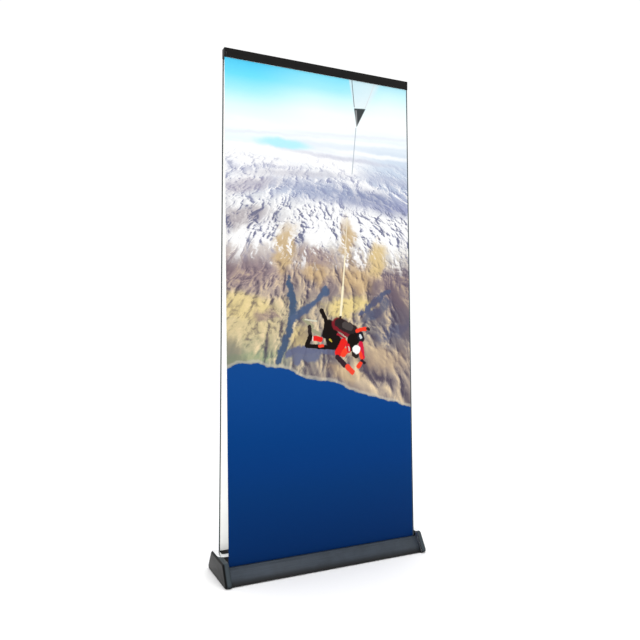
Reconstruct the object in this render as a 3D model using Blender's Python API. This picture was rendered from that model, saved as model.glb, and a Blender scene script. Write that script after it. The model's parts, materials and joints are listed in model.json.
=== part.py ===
"""Double-sided roll-up banner stand: twin-roller base, telescopic pole, snap rail and two graphics.

Metres, +Z up. X runs along the banner, the front graphic faces -Y, and the origin is on the floor
under the middle of the base. Every piece is one closed solid in an object of its own. A piece that
turns has its origin on the axis that it turns about.
"""

import math

import bmesh
import bpy
from mathutils import Matrix, Vector

# ---- Driving dimensions -------------------------------------------------------------------
GRAPHIC_WIDTH = 0.850
GRAPHIC_THICK = 0.0004
STAND_HEIGHT = 2.090  # floor to the top of the rail

GAP = 0.0003  # between pieces that touch on the bench
FOOT_HEIGHT = 0.003
FOOT_RADIUS = 0.011
FOOT_INSET = 0.009  # from the cap's outer faces
END_MARGIN = 0.004  # base body beyond each edge of the graphic
CAP_LENGTH = 0.025  # end cap beyond the base body
CAP_WALL = 0.0025
CAP_DOME = 0.012  # length of the rounding at the end cap's outer end
CAP_DOME_SIDE = 0.012  # how far it draws in the front and the rear
CAP_DOME_TOP = 0.009  # how far it draws down the top

# The base's cross-section, as distances from the middle plane (Y) and heights (Z).
CAP_BELLY = 0.1275
CAP_BELLY_Z = 0.0125
CAP_SHOULDER = 0.084
CAP_TOP = 0.0835
COVER_TOE = 0.1160
COVER_KNEE = 0.1060
COVER_KNEE_Z = 0.0215
COVER_BROW = 0.0835
COVER_BROW_Z = 0.0535
COVER_EDGE = 0.0798
COVER_LIP = 0.0690
COVER_TOP = 0.0640
COVER_WALL = 0.0018
DECK_EDGE = 0.0650
DECK_LEG_REACH = 0.0048  # how far the deck's leg reaches below the slot's outer lip
DECK_WALL = 0.0020
DECK_GROOVE = 0.0008
SLOT_Y = 0.0674  # where the graphic leaves the slot
FLOOR_WALL = 0.0025
WEB_WALL = 0.0020
SOCKET_WALL = 0.0094  # beside the pole
SPINE_BORDER = 0.0030  # of the spine beside the pole's hole
SPINE_REST = 0.0020  # how much of each deck the spine lies on
HOLE_CLEARANCE = 0.0010
FELT_THICK = 0.0012
FELT_HEIGHT = 0.009
TRIM_THICK = 0.0022

# The rollers.
ROLLER_Y = 0.0535
ROLLER_Z = 0.0345
ROLLER_RADIUS = 0.0135
ROLLER_WALL = 0.0012
WRAP_RADIUS = 0.0150
PLUG_LENGTH = 0.020
PIN_RADIUS = 0.0028
SHAFT_RADIUS = 0.0045
SHAFT_LENGTH = 0.170
SPRING_WIRE = 0.0011
SPRING_RADIUS = 0.0078
SPRING_TURNS = 18
SPRING_PITCH = 0.0065
PIN_CLEARANCE = 0.00015
PLATE_THICK = 0.0020
SCREW_RADIUS = 0.0013
SCREW_LENGTH = 0.012
SCREW_HEAD_RADIUS = 0.0030
SCREW_HEAD_THICK = 0.0020
SCREW_PORT_Z = 0.0636
SCREW_PORT_REACH = 0.0050
SCREW_PORT_WALL = 0.0020

# The pole.
POLE_RADIUS = 0.0125
POLE_WALL = 0.0012
POLE_CLEARANCE = 0.0004
LOWER_TOP = 0.760
MIDDLE_TOP = 1.400
POLE_OVERLAP = 0.095
COLLAR_WALL = 0.0030
COLLAR_BELOW = 0.030  # collar below the top of the tube that it sits on
COLLAR_ABOVE = 0.012
HEAD_FLANGE = 0.0030
HEAD_STUB = 0.020
HEAD_STUB_RADIUS = 0.0052
POLE_PLUG = 0.025

# The top rail.
RAIL_HEIGHT = 0.038
RAIL_HALF = 0.0155
RAIL_TOP_WALL = 0.0035
RAIL_WALL = 0.0020
JAW_THICK = 0.0019
RAIL_CAP_LENGTH = 0.008
RAIL_OVERHANG = 0.001  # rail beyond each edge of the graphic
HEM_THICK = 0.0006
HEM_HEIGHT = 0.022
BRACKET_HALF = 0.022
BRACKET_DROP = 0.008
TONGUE_LENGTH = 0.020

# ---- Derived sizes ------------------------------------------------------------------------
BODY_HALF = GRAPHIC_WIDTH / 2 + END_MARGIN
BASE_HALF = BODY_HALF + CAP_LENGTH
FLOOR_Z = FOOT_HEIGHT + GAP
DECK_TOP = CAP_TOP - GAP
DECK_LEG_Z = COVER_TOP - DECK_LEG_REACH
SOCKET_HALF = POLE_RADIUS + SOCKET_WALL + GAP
SPINE_HALF = POLE_RADIUS + HOLE_CLEARANCE + SPINE_BORDER
TRIM_BOTTOM = CAP_TOP + GAP
TRIM_TOP = TRIM_BOTTOM + TRIM_THICK
RAIL_BOTTOM = STAND_HEIGHT - RAIL_HEIGHT
JAW_OUT = RAIL_HALF
JAW_IN = JAW_OUT - JAW_THICK
HEM_OUT = JAW_IN - GAP
HEM_IN = HEM_OUT - HEM_THICK
RAIL_CORE_OUT = HEM_IN - GAP
RAIL_CORE_IN = RAIL_CORE_OUT - RAIL_WALL
RAIL_TOP_Y = (HEM_OUT + HEM_IN) / 2  # where the graphic meets the rail
RAIL_END = GRAPHIC_WIDTH / 2 + RAIL_OVERHANG
RAIL_CORE_HALF = RAIL_END - RAIL_CAP_LENGTH
JAW_PIVOT_Z = STAND_HEIGHT - RAIL_TOP_WALL - GAP - JAW_THICK / 2
SLOT_Z = COVER_TOP - FLOOR_WALL / 2  # the lowest height of the graphic that shows
COLLAR_TOP = LOWER_TOP + COLLAR_ABOVE
UPPER_COLLAR_BOTTOM = MIDDLE_TOP - COLLAR_BELOW
RAIL_TRAVEL = 2 * (UPPER_COLLAR_BOTTOM - COLLAR_TOP - GAP)  # both sliding tubes together
BRACKET_BOTTOM = RAIL_BOTTOM - BRACKET_DROP
PLATE_IN = BODY_HALF + GAP
PLATE_OUT = PLATE_IN + PLATE_THICK
SCREW_Y = SOCKET_HALF + WEB_WALL + SCREW_PORT_REACH / 2

ROUND = 28  # segments of a round piece

FRONT, REAR = -1, 1
LEFT, RIGHT = -1, 1
SIDES = {"front": FRONT, "rear": REAR}
ENDS = {"left": LEFT, "right": RIGHT}


# ---- Materials ----------------------------------------------------------------------------
def material(name, colour, roughness, metallic):
    m = bpy.data.materials.new(name)
    m.use_nodes = True
    shader = m.node_tree.nodes["Principled BSDF"]
    shader.inputs["Base Color"].default_value = (*colour, 1)
    shader.inputs["Roughness"].default_value = roughness
    shader.inputs["Metallic"].default_value = metallic
    m.diffuse_color = (*colour, 1)
    return m


def make_materials():
    return {
        "slate_aluminium": material("slate_aluminium", (0.075, 0.088, 0.105), 0.38, 0.6),
        "raw_aluminium": material("raw_aluminium", (0.62, 0.63, 0.64), 0.32, 0.9),
        "black_aluminium": material("black_aluminium", (0.020, 0.019, 0.018), 0.40, 0.5),
        "charcoal_plastic": material("charcoal_plastic", (0.030, 0.034, 0.036), 0.35, 0.0),
        "black_plastic": material("black_plastic", (0.012, 0.012, 0.013), 0.45, 0.0),
        "silver_trim": material("silver_trim", (0.86, 0.86, 0.86), 0.22, 0.2),
        "spring_steel": material("spring_steel", (0.40, 0.40, 0.42), 0.30, 1.0),
        "zinc_steel": material("zinc_steel", (0.55, 0.56, 0.58), 0.30, 1.0),
        "rubber": material("rubber", (0.010, 0.010, 0.010), 0.80, 0.0),
        "felt": material("felt", (0.014, 0.014, 0.015), 0.95, 0.0),
        "white_film": material("white_film", (0.85, 0.85, 0.84), 0.45, 0.0),
        "printed_film": material("printed_film", (0.10, 0.25, 0.50), 0.45, 0.0),
    }


# ---- Outlines -----------------------------------------------------------------------------
def rounded(corners, steps=5, closed=True):
    """An outline through (a, b, radius) corners, with each corner that has a radius as an arc."""
    points = []
    count = len(corners)
    for i, (a, b, radius) in enumerate(corners):
        here = Vector((a, b))
        if radius == 0 or (not closed and i in (0, count - 1)):
            points.append(here)
            continue
        before = (Vector(corners[i - 1][:2]) - here).normalized()
        after = (Vector(corners[(i + 1) % count][:2]) - here).normalized()
        half = before.angle(after) / 2
        reach = radius / math.tan(half)
        centre = here + (before + after).normalized() * radius / math.sin(half)
        start = here + before * reach - centre
        turn = (here + after * reach - centre).angle_signed(start)
        for k in range(steps + 1):
            points.append(centre + Matrix.Rotation(turn * k / steps, 2) @ start)
    return points


def normals(path, closed):
    """The left-hand mitre vector at each point of a path, for an offset of 1."""
    result = []
    count = len(path)
    for i, here in enumerate(path):
        back = path[i - 1] if closed or i else None
        ahead = path[(i + 1) % count] if closed or i < count - 1 else None
        sides = []
        if back is not None:
            sides.append((here - back).normalized())
        if ahead is not None:
            sides.append((ahead - here).normalized())
        left = [Vector((-d.y, d.x)) for d in sides]
        mean = sum(left, Vector((0, 0))).normalized()
        result.append(mean / max(0.3, mean.dot(left[0])))
    return result


def offset(outline, distance):
    """A counter-clockwise closed outline moved inwards by a distance."""
    return [p + n * distance for p, n in zip(outline, normals(outline, True))]


def strip(path, thickness):
    """The closed outline of a wall whose left-hand face lies a thickness from the path."""
    left = [p + n * thickness for p, n in zip(path, normals(path, False))]
    return path + left[::-1]


def circle(radius, steps=ROUND, centre=(0, 0)):
    turn = 2 * math.pi / steps
    return [
        Vector((centre[0] + radius * math.cos(i * turn), centre[1] + radius * math.sin(i * turn)))
        for i in range(steps)
    ]


def round_box(half_a, half_b, radius, steps=6):
    """A rounded rectangle about the origin, counter-clockwise, with 4 * (steps + 1) points."""
    corners = [(half_a, half_b), (-half_a, half_b), (-half_a, -half_b), (half_a, -half_b)]
    return rounded([(a, b, radius) for a, b in corners], steps)


def cap_outline(inset=0.0):
    """The end cap's cross-section in Y and Z, counter-clockwise seen from +X, moved inwards."""
    rear = [
        (CAP_BELLY - 0.004, FLOOR_Z, 0.003),
        (CAP_BELLY, CAP_BELLY_Z, 0.008),
        (CAP_SHOULDER, CAP_TOP, 0.014),
    ]
    corners = rear + [(-y, z, r) for y, z, r in reversed(rear)]
    moved = offset([Vector(c[:2]) for c in corners], inset)
    radii = [max(c[2] - inset, 0.0006) for c in corners]
    return rounded([(p.x, p.y, r) for p, r in zip(moved, radii)], steps=6)


# ---- Solids -------------------------------------------------------------------------------
def finish(name, bm, paint, origin=(0, 0, 0), smooth_angle=32):
    """Makes a named object from a bmesh in world places, with its origin at the given point."""
    bmesh.ops.remove_doubles(bm, verts=bm.verts, dist=1e-6)
    bmesh.ops.recalc_face_normals(bm, faces=bm.faces)
    bmesh.ops.translate(bm, verts=bm.verts, vec=-Vector(origin))
    mesh = bpy.data.meshes.new(name)
    bm.to_mesh(mesh)
    bm.free()
    mesh.shade_smooth()
    mesh.set_sharp_from_angle(angle=math.radians(smooth_angle))
    mesh.materials.append(paint)
    body = bpy.data.objects.new(name, mesh)
    body.location = origin
    bpy.context.collection.objects.link(body)
    return body


def across(x, outline):
    """Outline points (y, z) placed at a station along X."""
    return [Vector((x, p[0], p[1])) for p in outline]


def level(z, outline):
    """Outline points (x, y) placed at a height."""
    return [Vector((p[0], p[1], z)) for p in outline]


def loft(name, sections, paint, ring=False, **options):
    """Joins sections with equal counts of points, and closes the two ends or joins them."""
    bm = bmesh.new()
    loops = [[bm.verts.new(p) for p in section] for section in sections]
    pairs = list(zip(loops, loops[1:])) + ([(loops[-1], loops[0])] if ring else [])
    for low, high in pairs:
        for i in range(len(low)):
            j = (i + 1) % len(low)
            bm.faces.new((low[i], low[j], high[j], high[i]))
    if not ring:
        bm.faces.new(loops[0])
        bm.faces.new(loops[-1])
    return finish(name, bm, paint, **options)


def profile(name, outline, half_length, paint, **options):
    """An extrusion along X, centred on the middle of the stand."""
    return loft(name, [across(-half_length, outline), across(half_length, outline)], paint, **options)


def revolve(name, points, paint, axis, origin, **options):
    """A turned solid from (radius, distance along the axis) points that start and end on the
    axis, or that close on themselves away from it."""
    bm = bmesh.new()
    along = Vector(axis)
    out = Vector((0, 0, 1)) if abs(along.x) > 0.5 else Vector((1, 0, 0))
    base = Vector(origin)
    verts = [bm.verts.new(base + out * r + along * d) for r, d in points]
    edges = [bm.edges.new(pair) for pair in zip(verts, verts[1:])]
    if points[0][0] > 0:
        edges.append(bm.edges.new((verts[-1], verts[0])))
    bmesh.ops.spin(
        bm, geom=verts + edges, cent=base, axis=along, angle=2 * math.pi, steps=ROUND, use_merge=True
    )
    return finish(name, bm, paint, origin=origin, **options)


def tube(name, outer, wall, low, high, paint, axis, origin):
    ring = [(outer, low), (outer, high), (outer - wall, high), (outer - wall, low)]
    return revolve(name, ring, paint, axis, origin)


# ---- The base -----------------------------------------------------------------------------
def make_chassis(paints):
    """Floor plate, two webs beside the pole channel, screw ports and the covers' toe flanges."""
    top = FLOOR_Z + FLOOR_WALL
    toe = COVER_TOE - COVER_WALL - 0.004
    web_in, web_out = SOCKET_HALF, SOCKET_HALF + WEB_WALL
    port_low = SCREW_PORT_Z - SCREW_RADIUS - GAP
    port_high = SCREW_PORT_Z + SCREW_RADIUS + GAP
    port_out = web_out + SCREW_PORT_REACH
    web_top = DECK_TOP - DECK_WALL - GAP
    rear = [
        (toe, FLOOR_Z),
        (toe, top + 0.003),
        (toe - WEB_WALL, top + 0.003),
        (toe - WEB_WALL, top),
        (web_out, top),
        (web_out, port_low - SCREW_PORT_WALL),
        (port_out, port_low - SCREW_PORT_WALL),
        (port_out, port_low),
        (web_out, port_low),
        (web_out, port_high),
        (port_out, port_high),
        (port_out, port_high + SCREW_PORT_WALL),
        (web_out, port_high + SCREW_PORT_WALL),
        (web_out, web_top),
        (web_in, web_top),
        (web_in, top),
    ]
    outline = [Vector(p) for p in rear + [(-y, z) for y, z in reversed(rear)]]
    return profile("base_chassis", outline, BODY_HALF, paints["raw_aluminium"])


def make_cover(side, sign, paints):
    """The sloping outer cover, from its toe beside the floor plate to the lip at the slot."""
    path = rounded(
        [
            (COVER_TOE, FLOOR_Z, 0),
            (COVER_KNEE, COVER_KNEE_Z, 0.030),
            (COVER_BROW, COVER_BROW_Z, 0.012),
            (COVER_EDGE, COVER_TOP, 0.002),
            (COVER_LIP, COVER_TOP, 0),
            (COVER_LIP, COVER_TOP - 0.004, 0),
        ],
        closed=False,
    )
    outline = [Vector((sign * p.x, max(p.y, FLOOR_Z))) for p in strip(path, COVER_WALL)]
    return profile(f"{side}_cover", outline, BODY_HALF, paints["slate_aluminium"])


def make_deck(side, sign, paints):
    """The grooved deck between the spine and the slot, with a leg that guides the graphic."""
    low, shallow = DECK_TOP - DECK_WALL, DECK_TOP - DECK_GROOVE
    inner = SPINE_HALF - SPINE_REST
    grooves = 7
    pitch = (DECK_EDGE - 0.004 - SPINE_HALF - 0.003) / grooves
    surface = [(DECK_EDGE, DECK_TOP)]
    for i in range(grooves):
        start = DECK_EDGE - 0.004 - i * pitch
        end = start - pitch * 0.45
        surface += [(start, DECK_TOP), (start, shallow), (end, shallow), (end, DECK_TOP)]
    outline = surface + [
        (inner, DECK_TOP),
        (inner, low),
        (DECK_EDGE - DECK_WALL, low),
        (DECK_EDGE - DECK_WALL, DECK_LEG_Z),
        (DECK_EDGE, DECK_LEG_Z),
    ]
    outline = [Vector((sign * y, z)) for y, z in outline]
    return profile(f"{side}_deck", outline, BODY_HALF, paints["black_plastic"])


def make_slot_seal(side, sign, paints):
    """A felt strip on the deck's leg, which wipes the graphic as it is drawn out."""
    low, high = DECK_EDGE + GAP, DECK_EDGE + GAP + FELT_THICK
    top = DECK_LEG_Z + FELT_HEIGHT
    outline = [(low, DECK_LEG_Z), (high, DECK_LEG_Z), (high, top), (low, top)]
    outline = [Vector((sign * y, z)) for y, z in outline]
    return profile(f"{side}_slot_felt", outline, BODY_HALF - GAP, paints["felt"])


def make_end_cap(end, sign, paints):
    """A moulded shell, open towards the base body and rounded over at its outer end."""
    sections = [
        across(sign * (BASE_HALF - CAP_WALL), cap_outline(CAP_WALL + CAP_DOME_SIDE * 0.6)),
        across(sign * (BASE_HALF - CAP_DOME), cap_outline(CAP_WALL)),
        across(sign * PLATE_IN, cap_outline(CAP_WALL)),
        across(sign * PLATE_IN, cap_outline()),
    ]
    steps = 7
    for i in range(steps + 1):
        turn = math.pi / 2 * i / steps
        x = BASE_HALF - CAP_DOME * (1 - math.sin(turn))
        share = 1 - math.cos(turn)
        narrow = 1 - CAP_DOME_SIDE / CAP_BELLY * share
        low = 1 - CAP_DOME_TOP / (CAP_TOP - FLOOR_Z) * share
        ring = [(p.x * narrow, FLOOR_Z + (p.y - FLOOR_Z) * low) for p in cap_outline()]
        sections.append(across(sign * x, ring))
    return loft(f"end_cap_{end}", sections, paints["charcoal_plastic"])


def make_bearing_plate(end, sign, paints):
    """A steel plate inside the end cap, which carries both rollers."""
    outline = cap_outline(CAP_WALL + GAP)
    plate = loft(
        f"bearing_plate_{end}",
        [across(sign * PLATE_IN, outline), across(sign * PLATE_OUT, outline)],
        paints["zinc_steel"],
    )
    holes = []
    for side, side_sign in SIDES.items():
        spring_end = sign == spring_end_of(side_sign)
        radius = (SHAFT_RADIUS if spring_end else PIN_RADIUS) + PIN_CLEARANCE
        holes.append((side_sign * ROLLER_Y, ROLLER_Z, radius))
        holes.append((side_sign * SCREW_Y, SCREW_PORT_Z, SCREW_RADIUS + GAP))
    middle = sign * (PLATE_IN + PLATE_THICK / 2)
    for i, (y, z, radius) in enumerate(holes):
        drill(plate, f"drill_{end}_{i}", radius, (middle, y, z), PLATE_THICK * 3, "X")
    return plate


def drill(body, name, radius, centre, length, axis):
    """Cuts a round hole through a body with a hidden cylinder."""
    along = Vector((1, 0, 0)) if axis == "X" else Vector((0, 0, 1))
    cutter = revolve(
        name,
        [(0, -length / 2), (radius, -length / 2), (radius, length / 2), (0, length / 2)],
        body.data.materials[0],
        along,
        centre,
    )
    cutter.hide_render = True
    cutter.display_type = "WIRE"
    cut = body.modifiers.new(name, "BOOLEAN")
    cut.operation = "DIFFERENCE"
    cut.object = cutter
    cut.solver = "EXACT"


def spring_end_of(side_sign):
    """Both cassettes are the same, turned back to back, so their spring ends are opposite."""
    return LEFT if side_sign == REAR else RIGHT


def make_screw(end, sign, side, side_sign, paints):
    """A pan-head screw that holds the bearing plate to the chassis's screw port."""
    head = PLATE_OUT + GAP
    points = [
        (0, head - SCREW_LENGTH),
        (SCREW_RADIUS, head - SCREW_LENGTH),
        (SCREW_RADIUS, head),
        (SCREW_HEAD_RADIUS, head),
        (SCREW_HEAD_RADIUS, head + SCREW_HEAD_THICK * 0.55),
        (SCREW_HEAD_RADIUS * 0.6, head + SCREW_HEAD_THICK),
        (0, head + SCREW_HEAD_THICK),
    ]
    origin = (0, side_sign * SCREW_Y, SCREW_PORT_Z)
    return revolve(f"plate_screw_{side}_{end}", points, paints["zinc_steel"], (sign, 0, 0), origin)


def make_foot(end, sign, side, side_sign, paints):
    """A rubber disc stuck under a corner of the end cap."""
    chamfer = 0.001
    x = sign * (BASE_HALF - FOOT_INSET - FOOT_RADIUS)
    y = side_sign * (CAP_BELLY - FOOT_INSET - FOOT_RADIUS)
    points = [
        (0, 0),
        (FOOT_RADIUS - chamfer, 0),
        (FOOT_RADIUS, chamfer),
        (FOOT_RADIUS, FOOT_HEIGHT),
        (0, FOOT_HEIGHT),
    ]
    return revolve(f"foot_{side}_{end}", points, paints["rubber"], (0, 0, 1), (x, y, 0))


def make_trim(side, sign, paints):
    """The bright bezel round the spring end of one slot: an L with a rounded elbow."""
    end = spring_end_of(sign)
    outer = BASE_HALF - 0.0055
    inner = BODY_HALF - 0.0025
    tail = inner - 0.027
    corners = [
        (inner, CAP_SHOULDER - 0.006, 0.003),
        (outer, CAP_SHOULDER - 0.006, 0.003),
        (outer, -SPINE_HALF, 0.030),
        (tail, -SPINE_HALF, 0),
        (tail, SPINE_HALF - SPINE_REST, 0),
        (inner, SPINE_HALF - SPINE_REST, 0.010),
    ]
    outline = [Vector((end * p.x, sign * p.y)) for p in rounded(corners, steps=8)]
    sections = [level(TRIM_BOTTOM, outline), level(TRIM_TOP - 0.0006, outline)]
    inset = 0.0006 if is_counter_clockwise(outline) else -0.0006
    sections.append(level(TRIM_TOP, offset(outline, inset)))
    return loft(f"slot_trim_{side}", sections, paints["silver_trim"]), tail


def is_counter_clockwise(outline):
    pairs = zip(outline, outline[1:] + outline[:1])
    return sum(a.x * b.y - b.x * a.y for a, b in pairs) > 0


def make_spine(paints, half_length):
    """The bright strip along the middle of the deck, with a hole that the pole passes through."""
    flat = [
        (SPINE_HALF, TRIM_BOTTOM),
        (SPINE_HALF, TRIM_TOP - 0.0006),
        (SPINE_HALF - 0.0006, TRIM_TOP),
    ]
    outline = [Vector(p) for p in flat + [(-y, z) for y, z in reversed(flat)]]
    spine = profile("centre_spine", outline, half_length - GAP, paints["silver_trim"])
    drill(spine, "drill_spine", POLE_RADIUS + HOLE_CLEARANCE, (0, 0, TRIM_TOP), TRIM_THICK * 4, "Z")
    return spine


def make_socket(paints):
    """The block in the pole channel that the pole stands in."""
    half_x, floor = 0.034, FLOOR_Z + FLOOR_WALL + GAP
    half_y = SOCKET_HALF - GAP
    top = TRIM_BOTTOM - GAP
    deck_half = SPINE_HALF - SPINE_REST - GAP
    neck = DECK_TOP - DECK_WALL - GAP * 2
    box = round_box(half_x, half_y, 0.004)
    collar = round_box(half_x, deck_half, 0.004)
    bore = aligned(circle(POLE_RADIUS + GAP, len(box)), box)
    sections = [
        level(floor, box),
        level(neck, box),
        level(neck, collar),
        level(top, collar),
        level(top, bore),
        level(floor + 0.0030, bore),
    ]
    return loft("pole_socket", sections, paints["black_plastic"])


def aligned(ring, guide):
    """A circle's points started at the angle of the guide's first point."""
    start = min(range(len(ring)), key=lambda i: (ring[i].normalized() - guide[0].normalized()).length)
    return ring[start:] + ring[:start]


# ---- The rollers --------------------------------------------------------------------------
def make_roller(side, sign, paints):
    """One roller: tube, film left on it, both end plugs, the fixed shaft and its spring."""
    spring = spring_end_of(sign)
    origin = (0, sign * ROLLER_Y, ROLLER_Z)
    half = BODY_HALF - 0.0025
    bore = ROLLER_RADIUS - ROLLER_WALL
    axis = (spring, 0, 0)  # distances below run towards the spring end
    tube(f"{side}_roller_tube", ROLLER_RADIUS, ROLLER_WALL, -half, half, paints["raw_aluminium"],
         axis, origin)
    tube(f"{side}_roller_wrap", WRAP_RADIUS, WRAP_RADIUS - ROLLER_RADIUS - GAP, -GRAPHIC_WIDTH / 2,
         GRAPHIC_WIDTH / 2, paints["white_film"], axis, origin)
    pin_end = PLATE_OUT + 0.0015
    plug = bore - GAP
    idle = [
        (0, -pin_end),
        (PIN_RADIUS, -pin_end),
        (PIN_RADIUS, -half),
        (plug, -half),
        (plug, -half + PLUG_LENGTH),
        (0, -half + PLUG_LENGTH),
    ]
    revolve(f"{side}_idle_plug", idle, paints["black_plastic"], axis, origin)
    tube(f"{side}_spring_plug", plug, plug - SHAFT_RADIUS - PIN_CLEARANCE, half - PLUG_LENGTH, half,
         paints["black_plastic"], axis, origin)
    anchor = SPRING_RADIUS - SPRING_WIRE - GAP
    tip = half - SHAFT_LENGTH
    shaft = [
        (0, tip),
        (anchor, tip),
        (anchor, tip + 0.020),
        (SHAFT_RADIUS, tip + 0.022),
        (SHAFT_RADIUS, PLATE_OUT + 0.004),
        (0, PLATE_OUT + 0.004),
    ]
    revolve(f"{side}_spring_shaft", shaft, paints["zinc_steel"], axis, origin)
    make_spring(side, spring, half - PLUG_LENGTH - GAP - SPRING_WIRE, origin, paints)


def make_spring(side, spring, start, origin, paints):
    """The torsion spring: a coil of round wire that starts at the spring plug."""
    steps, sides = 12, 6
    sections = []
    for i in range(SPRING_TURNS * steps + 1):
        turn = 2 * math.pi * i / steps
        out = Vector((0, math.cos(turn), math.sin(turn)))
        along = Vector((spring, 0, 0))
        centre = Vector(origin) + out * SPRING_RADIUS
        centre += along * (start - SPRING_PITCH * i / steps)
        ring = []
        for k in range(sides):
            a = 2 * math.pi * k / sides
            ring.append(centre + (out * math.cos(a) + along * math.sin(a)) * SPRING_WIRE)
        sections.append(ring)
    return loft(f"{side}_torsion_spring", sections, paints["spring_steel"], smooth_angle=70)


# ---- The graphics -------------------------------------------------------------------------
def graphic_y(z):
    """The graphic's distance from the middle plane at a height between the slot and the rail."""
    share = (z - SLOT_Z) / (RAIL_BOTTOM - GAP - SLOT_Z)
    return SLOT_Y + (RAIL_TOP_Y - SLOT_Y) * share


def make_graphic(side, sign, paints):
    """The printed sheet from the slot to the rail, leaning in towards the middle plane."""
    half = GRAPHIC_THICK / 2
    top = RAIL_BOTTOM - GAP
    outline = [
        (SLOT_Y + half, SLOT_Z),
        (RAIL_TOP_Y + half, top),
        (RAIL_TOP_Y - half, top),
        (SLOT_Y - half, SLOT_Z),
    ]
    outline = [Vector((sign * y, z)) for y, z in outline]
    return profile(f"{side}_graphic", outline, GRAPHIC_WIDTH / 2, paints["printed_film"])


def make_leader(side, sign, paints):
    """The blank film between the roller and the slot."""
    half = GRAPHIC_THICK / 2
    low_y = ROLLER_Y + WRAP_RADIUS + GAP + half
    outline = [
        (low_y + half, ROLLER_Z),
        (SLOT_Y + half, SLOT_Z - GAP),
        (SLOT_Y - half, SLOT_Z - GAP),
        (low_y - half, ROLLER_Z),
    ]
    outline = [Vector((sign * y, z)) for y, z in outline]
    return profile(f"{side}_leader", outline, GRAPHIC_WIDTH / 2, paints["white_film"])


def make_hem(side, sign, paints):
    """The stiff strip on the graphic's top edge, which the rail's jaw grips."""
    low, high = RAIL_BOTTOM, RAIL_BOTTOM + HEM_HEIGHT
    outline = [(HEM_IN, low), (HEM_OUT, low), (HEM_OUT, high), (HEM_IN, high)]
    outline = [Vector((sign * y, z)) for y, z in outline]
    return profile(f"{side}_hem_strip", outline, RAIL_CORE_HALF - GAP, paints["white_film"])


# ---- The top rail -------------------------------------------------------------------------
def make_rail_core(paints):
    """The rail's extrusion: a top plate over a channel that opens downwards."""
    plate = STAND_HEIGHT - RAIL_TOP_WALL
    low = RAIL_BOTTOM + 0.001
    rear = [
        (RAIL_HALF, plate, 0),
        (RAIL_HALF, STAND_HEIGHT, 0.0025),
    ]
    front = [(-y, z, r) for y, z, r in reversed(rear)]
    inside = [
        (-RAIL_CORE_OUT, plate, 0),
        (-RAIL_CORE_OUT, low, 0),
        (-RAIL_CORE_IN, low, 0),
        (-RAIL_CORE_IN, plate, 0),
        (RAIL_CORE_IN, plate, 0),
        (RAIL_CORE_IN, low, 0),
        (RAIL_CORE_OUT, low, 0),
        (RAIL_CORE_OUT, plate, 0),
    ]
    outline = rounded(rear + front + inside, steps=4)
    return profile("top_rail", outline, RAIL_CORE_HALF, paints["black_aluminium"])


def make_jaw(side, sign, paints):
    """The snap jaw that grips the hem strip. It turns about the bead along its top edge."""
    pivot_y = (JAW_OUT + JAW_IN) / 2
    bead = JAW_THICK / 2
    arc = [(pivot_y + bead * math.cos(math.pi * k / 6), JAW_PIVOT_Z + bead * math.sin(math.pi * k / 6))
           for k in range(7)]
    outline = [(JAW_IN, RAIL_BOTTOM), (JAW_OUT, RAIL_BOTTOM)] + arc
    outline = [Vector((sign * y, z)) for y, z in outline]
    origin = (0, sign * pivot_y, JAW_PIVOT_Z)
    return profile(f"{side}_rail_jaw", outline, RAIL_CORE_HALF - GAP, paints["black_aluminium"],
                   origin=origin)


def make_rail_cap(end, sign, paints):
    """The rail's end cap, with a tongue that plugs into the rail's channel."""
    middle = (RAIL_BOTTOM + STAND_HEIGHT) / 2
    face = round_box(RAIL_HALF + 0.0002, RAIL_HEIGHT / 2, 0.0025, 4)
    tongue_half = RAIL_CORE_IN - GAP
    tongue_z = (RAIL_HEIGHT - RAIL_TOP_WALL) / 2 - 0.003
    tongue = round_box(tongue_half, tongue_z, 0.001, 4)
    root = RAIL_CORE_HALF + GAP

    def at(x, outline, lift=0.0):
        return across(sign * x, [Vector((p.x, p.y + middle + lift)) for p in outline])

    lift = -RAIL_TOP_WALL / 2
    sections = [
        at(root - TONGUE_LENGTH, tongue, lift),
        at(root, tongue, lift),
        at(root, face),
        at(RAIL_END - 0.001, face),
        at(RAIL_END, offset(face, 0.001)),
    ]
    return loft(f"rail_cap_{end}", sections, paints["black_plastic"])


def make_rail_bracket(paints):
    """The block in the rail's channel that the pole's head plugs into from below."""
    box = round_box(BRACKET_HALF, RAIL_CORE_IN - GAP, 0.002)
    bore = aligned(circle(HEAD_STUB_RADIUS + GAP, len(box)), box)
    top = STAND_HEIGHT - RAIL_TOP_WALL - GAP
    sections = [
        level(top, box),
        level(BRACKET_BOTTOM, box),
        level(BRACKET_BOTTOM, bore),
        level(BRACKET_BOTTOM + HEAD_STUB + 0.001, bore),
    ]
    return loft("rail_bracket", sections, paints["black_plastic"])


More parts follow.
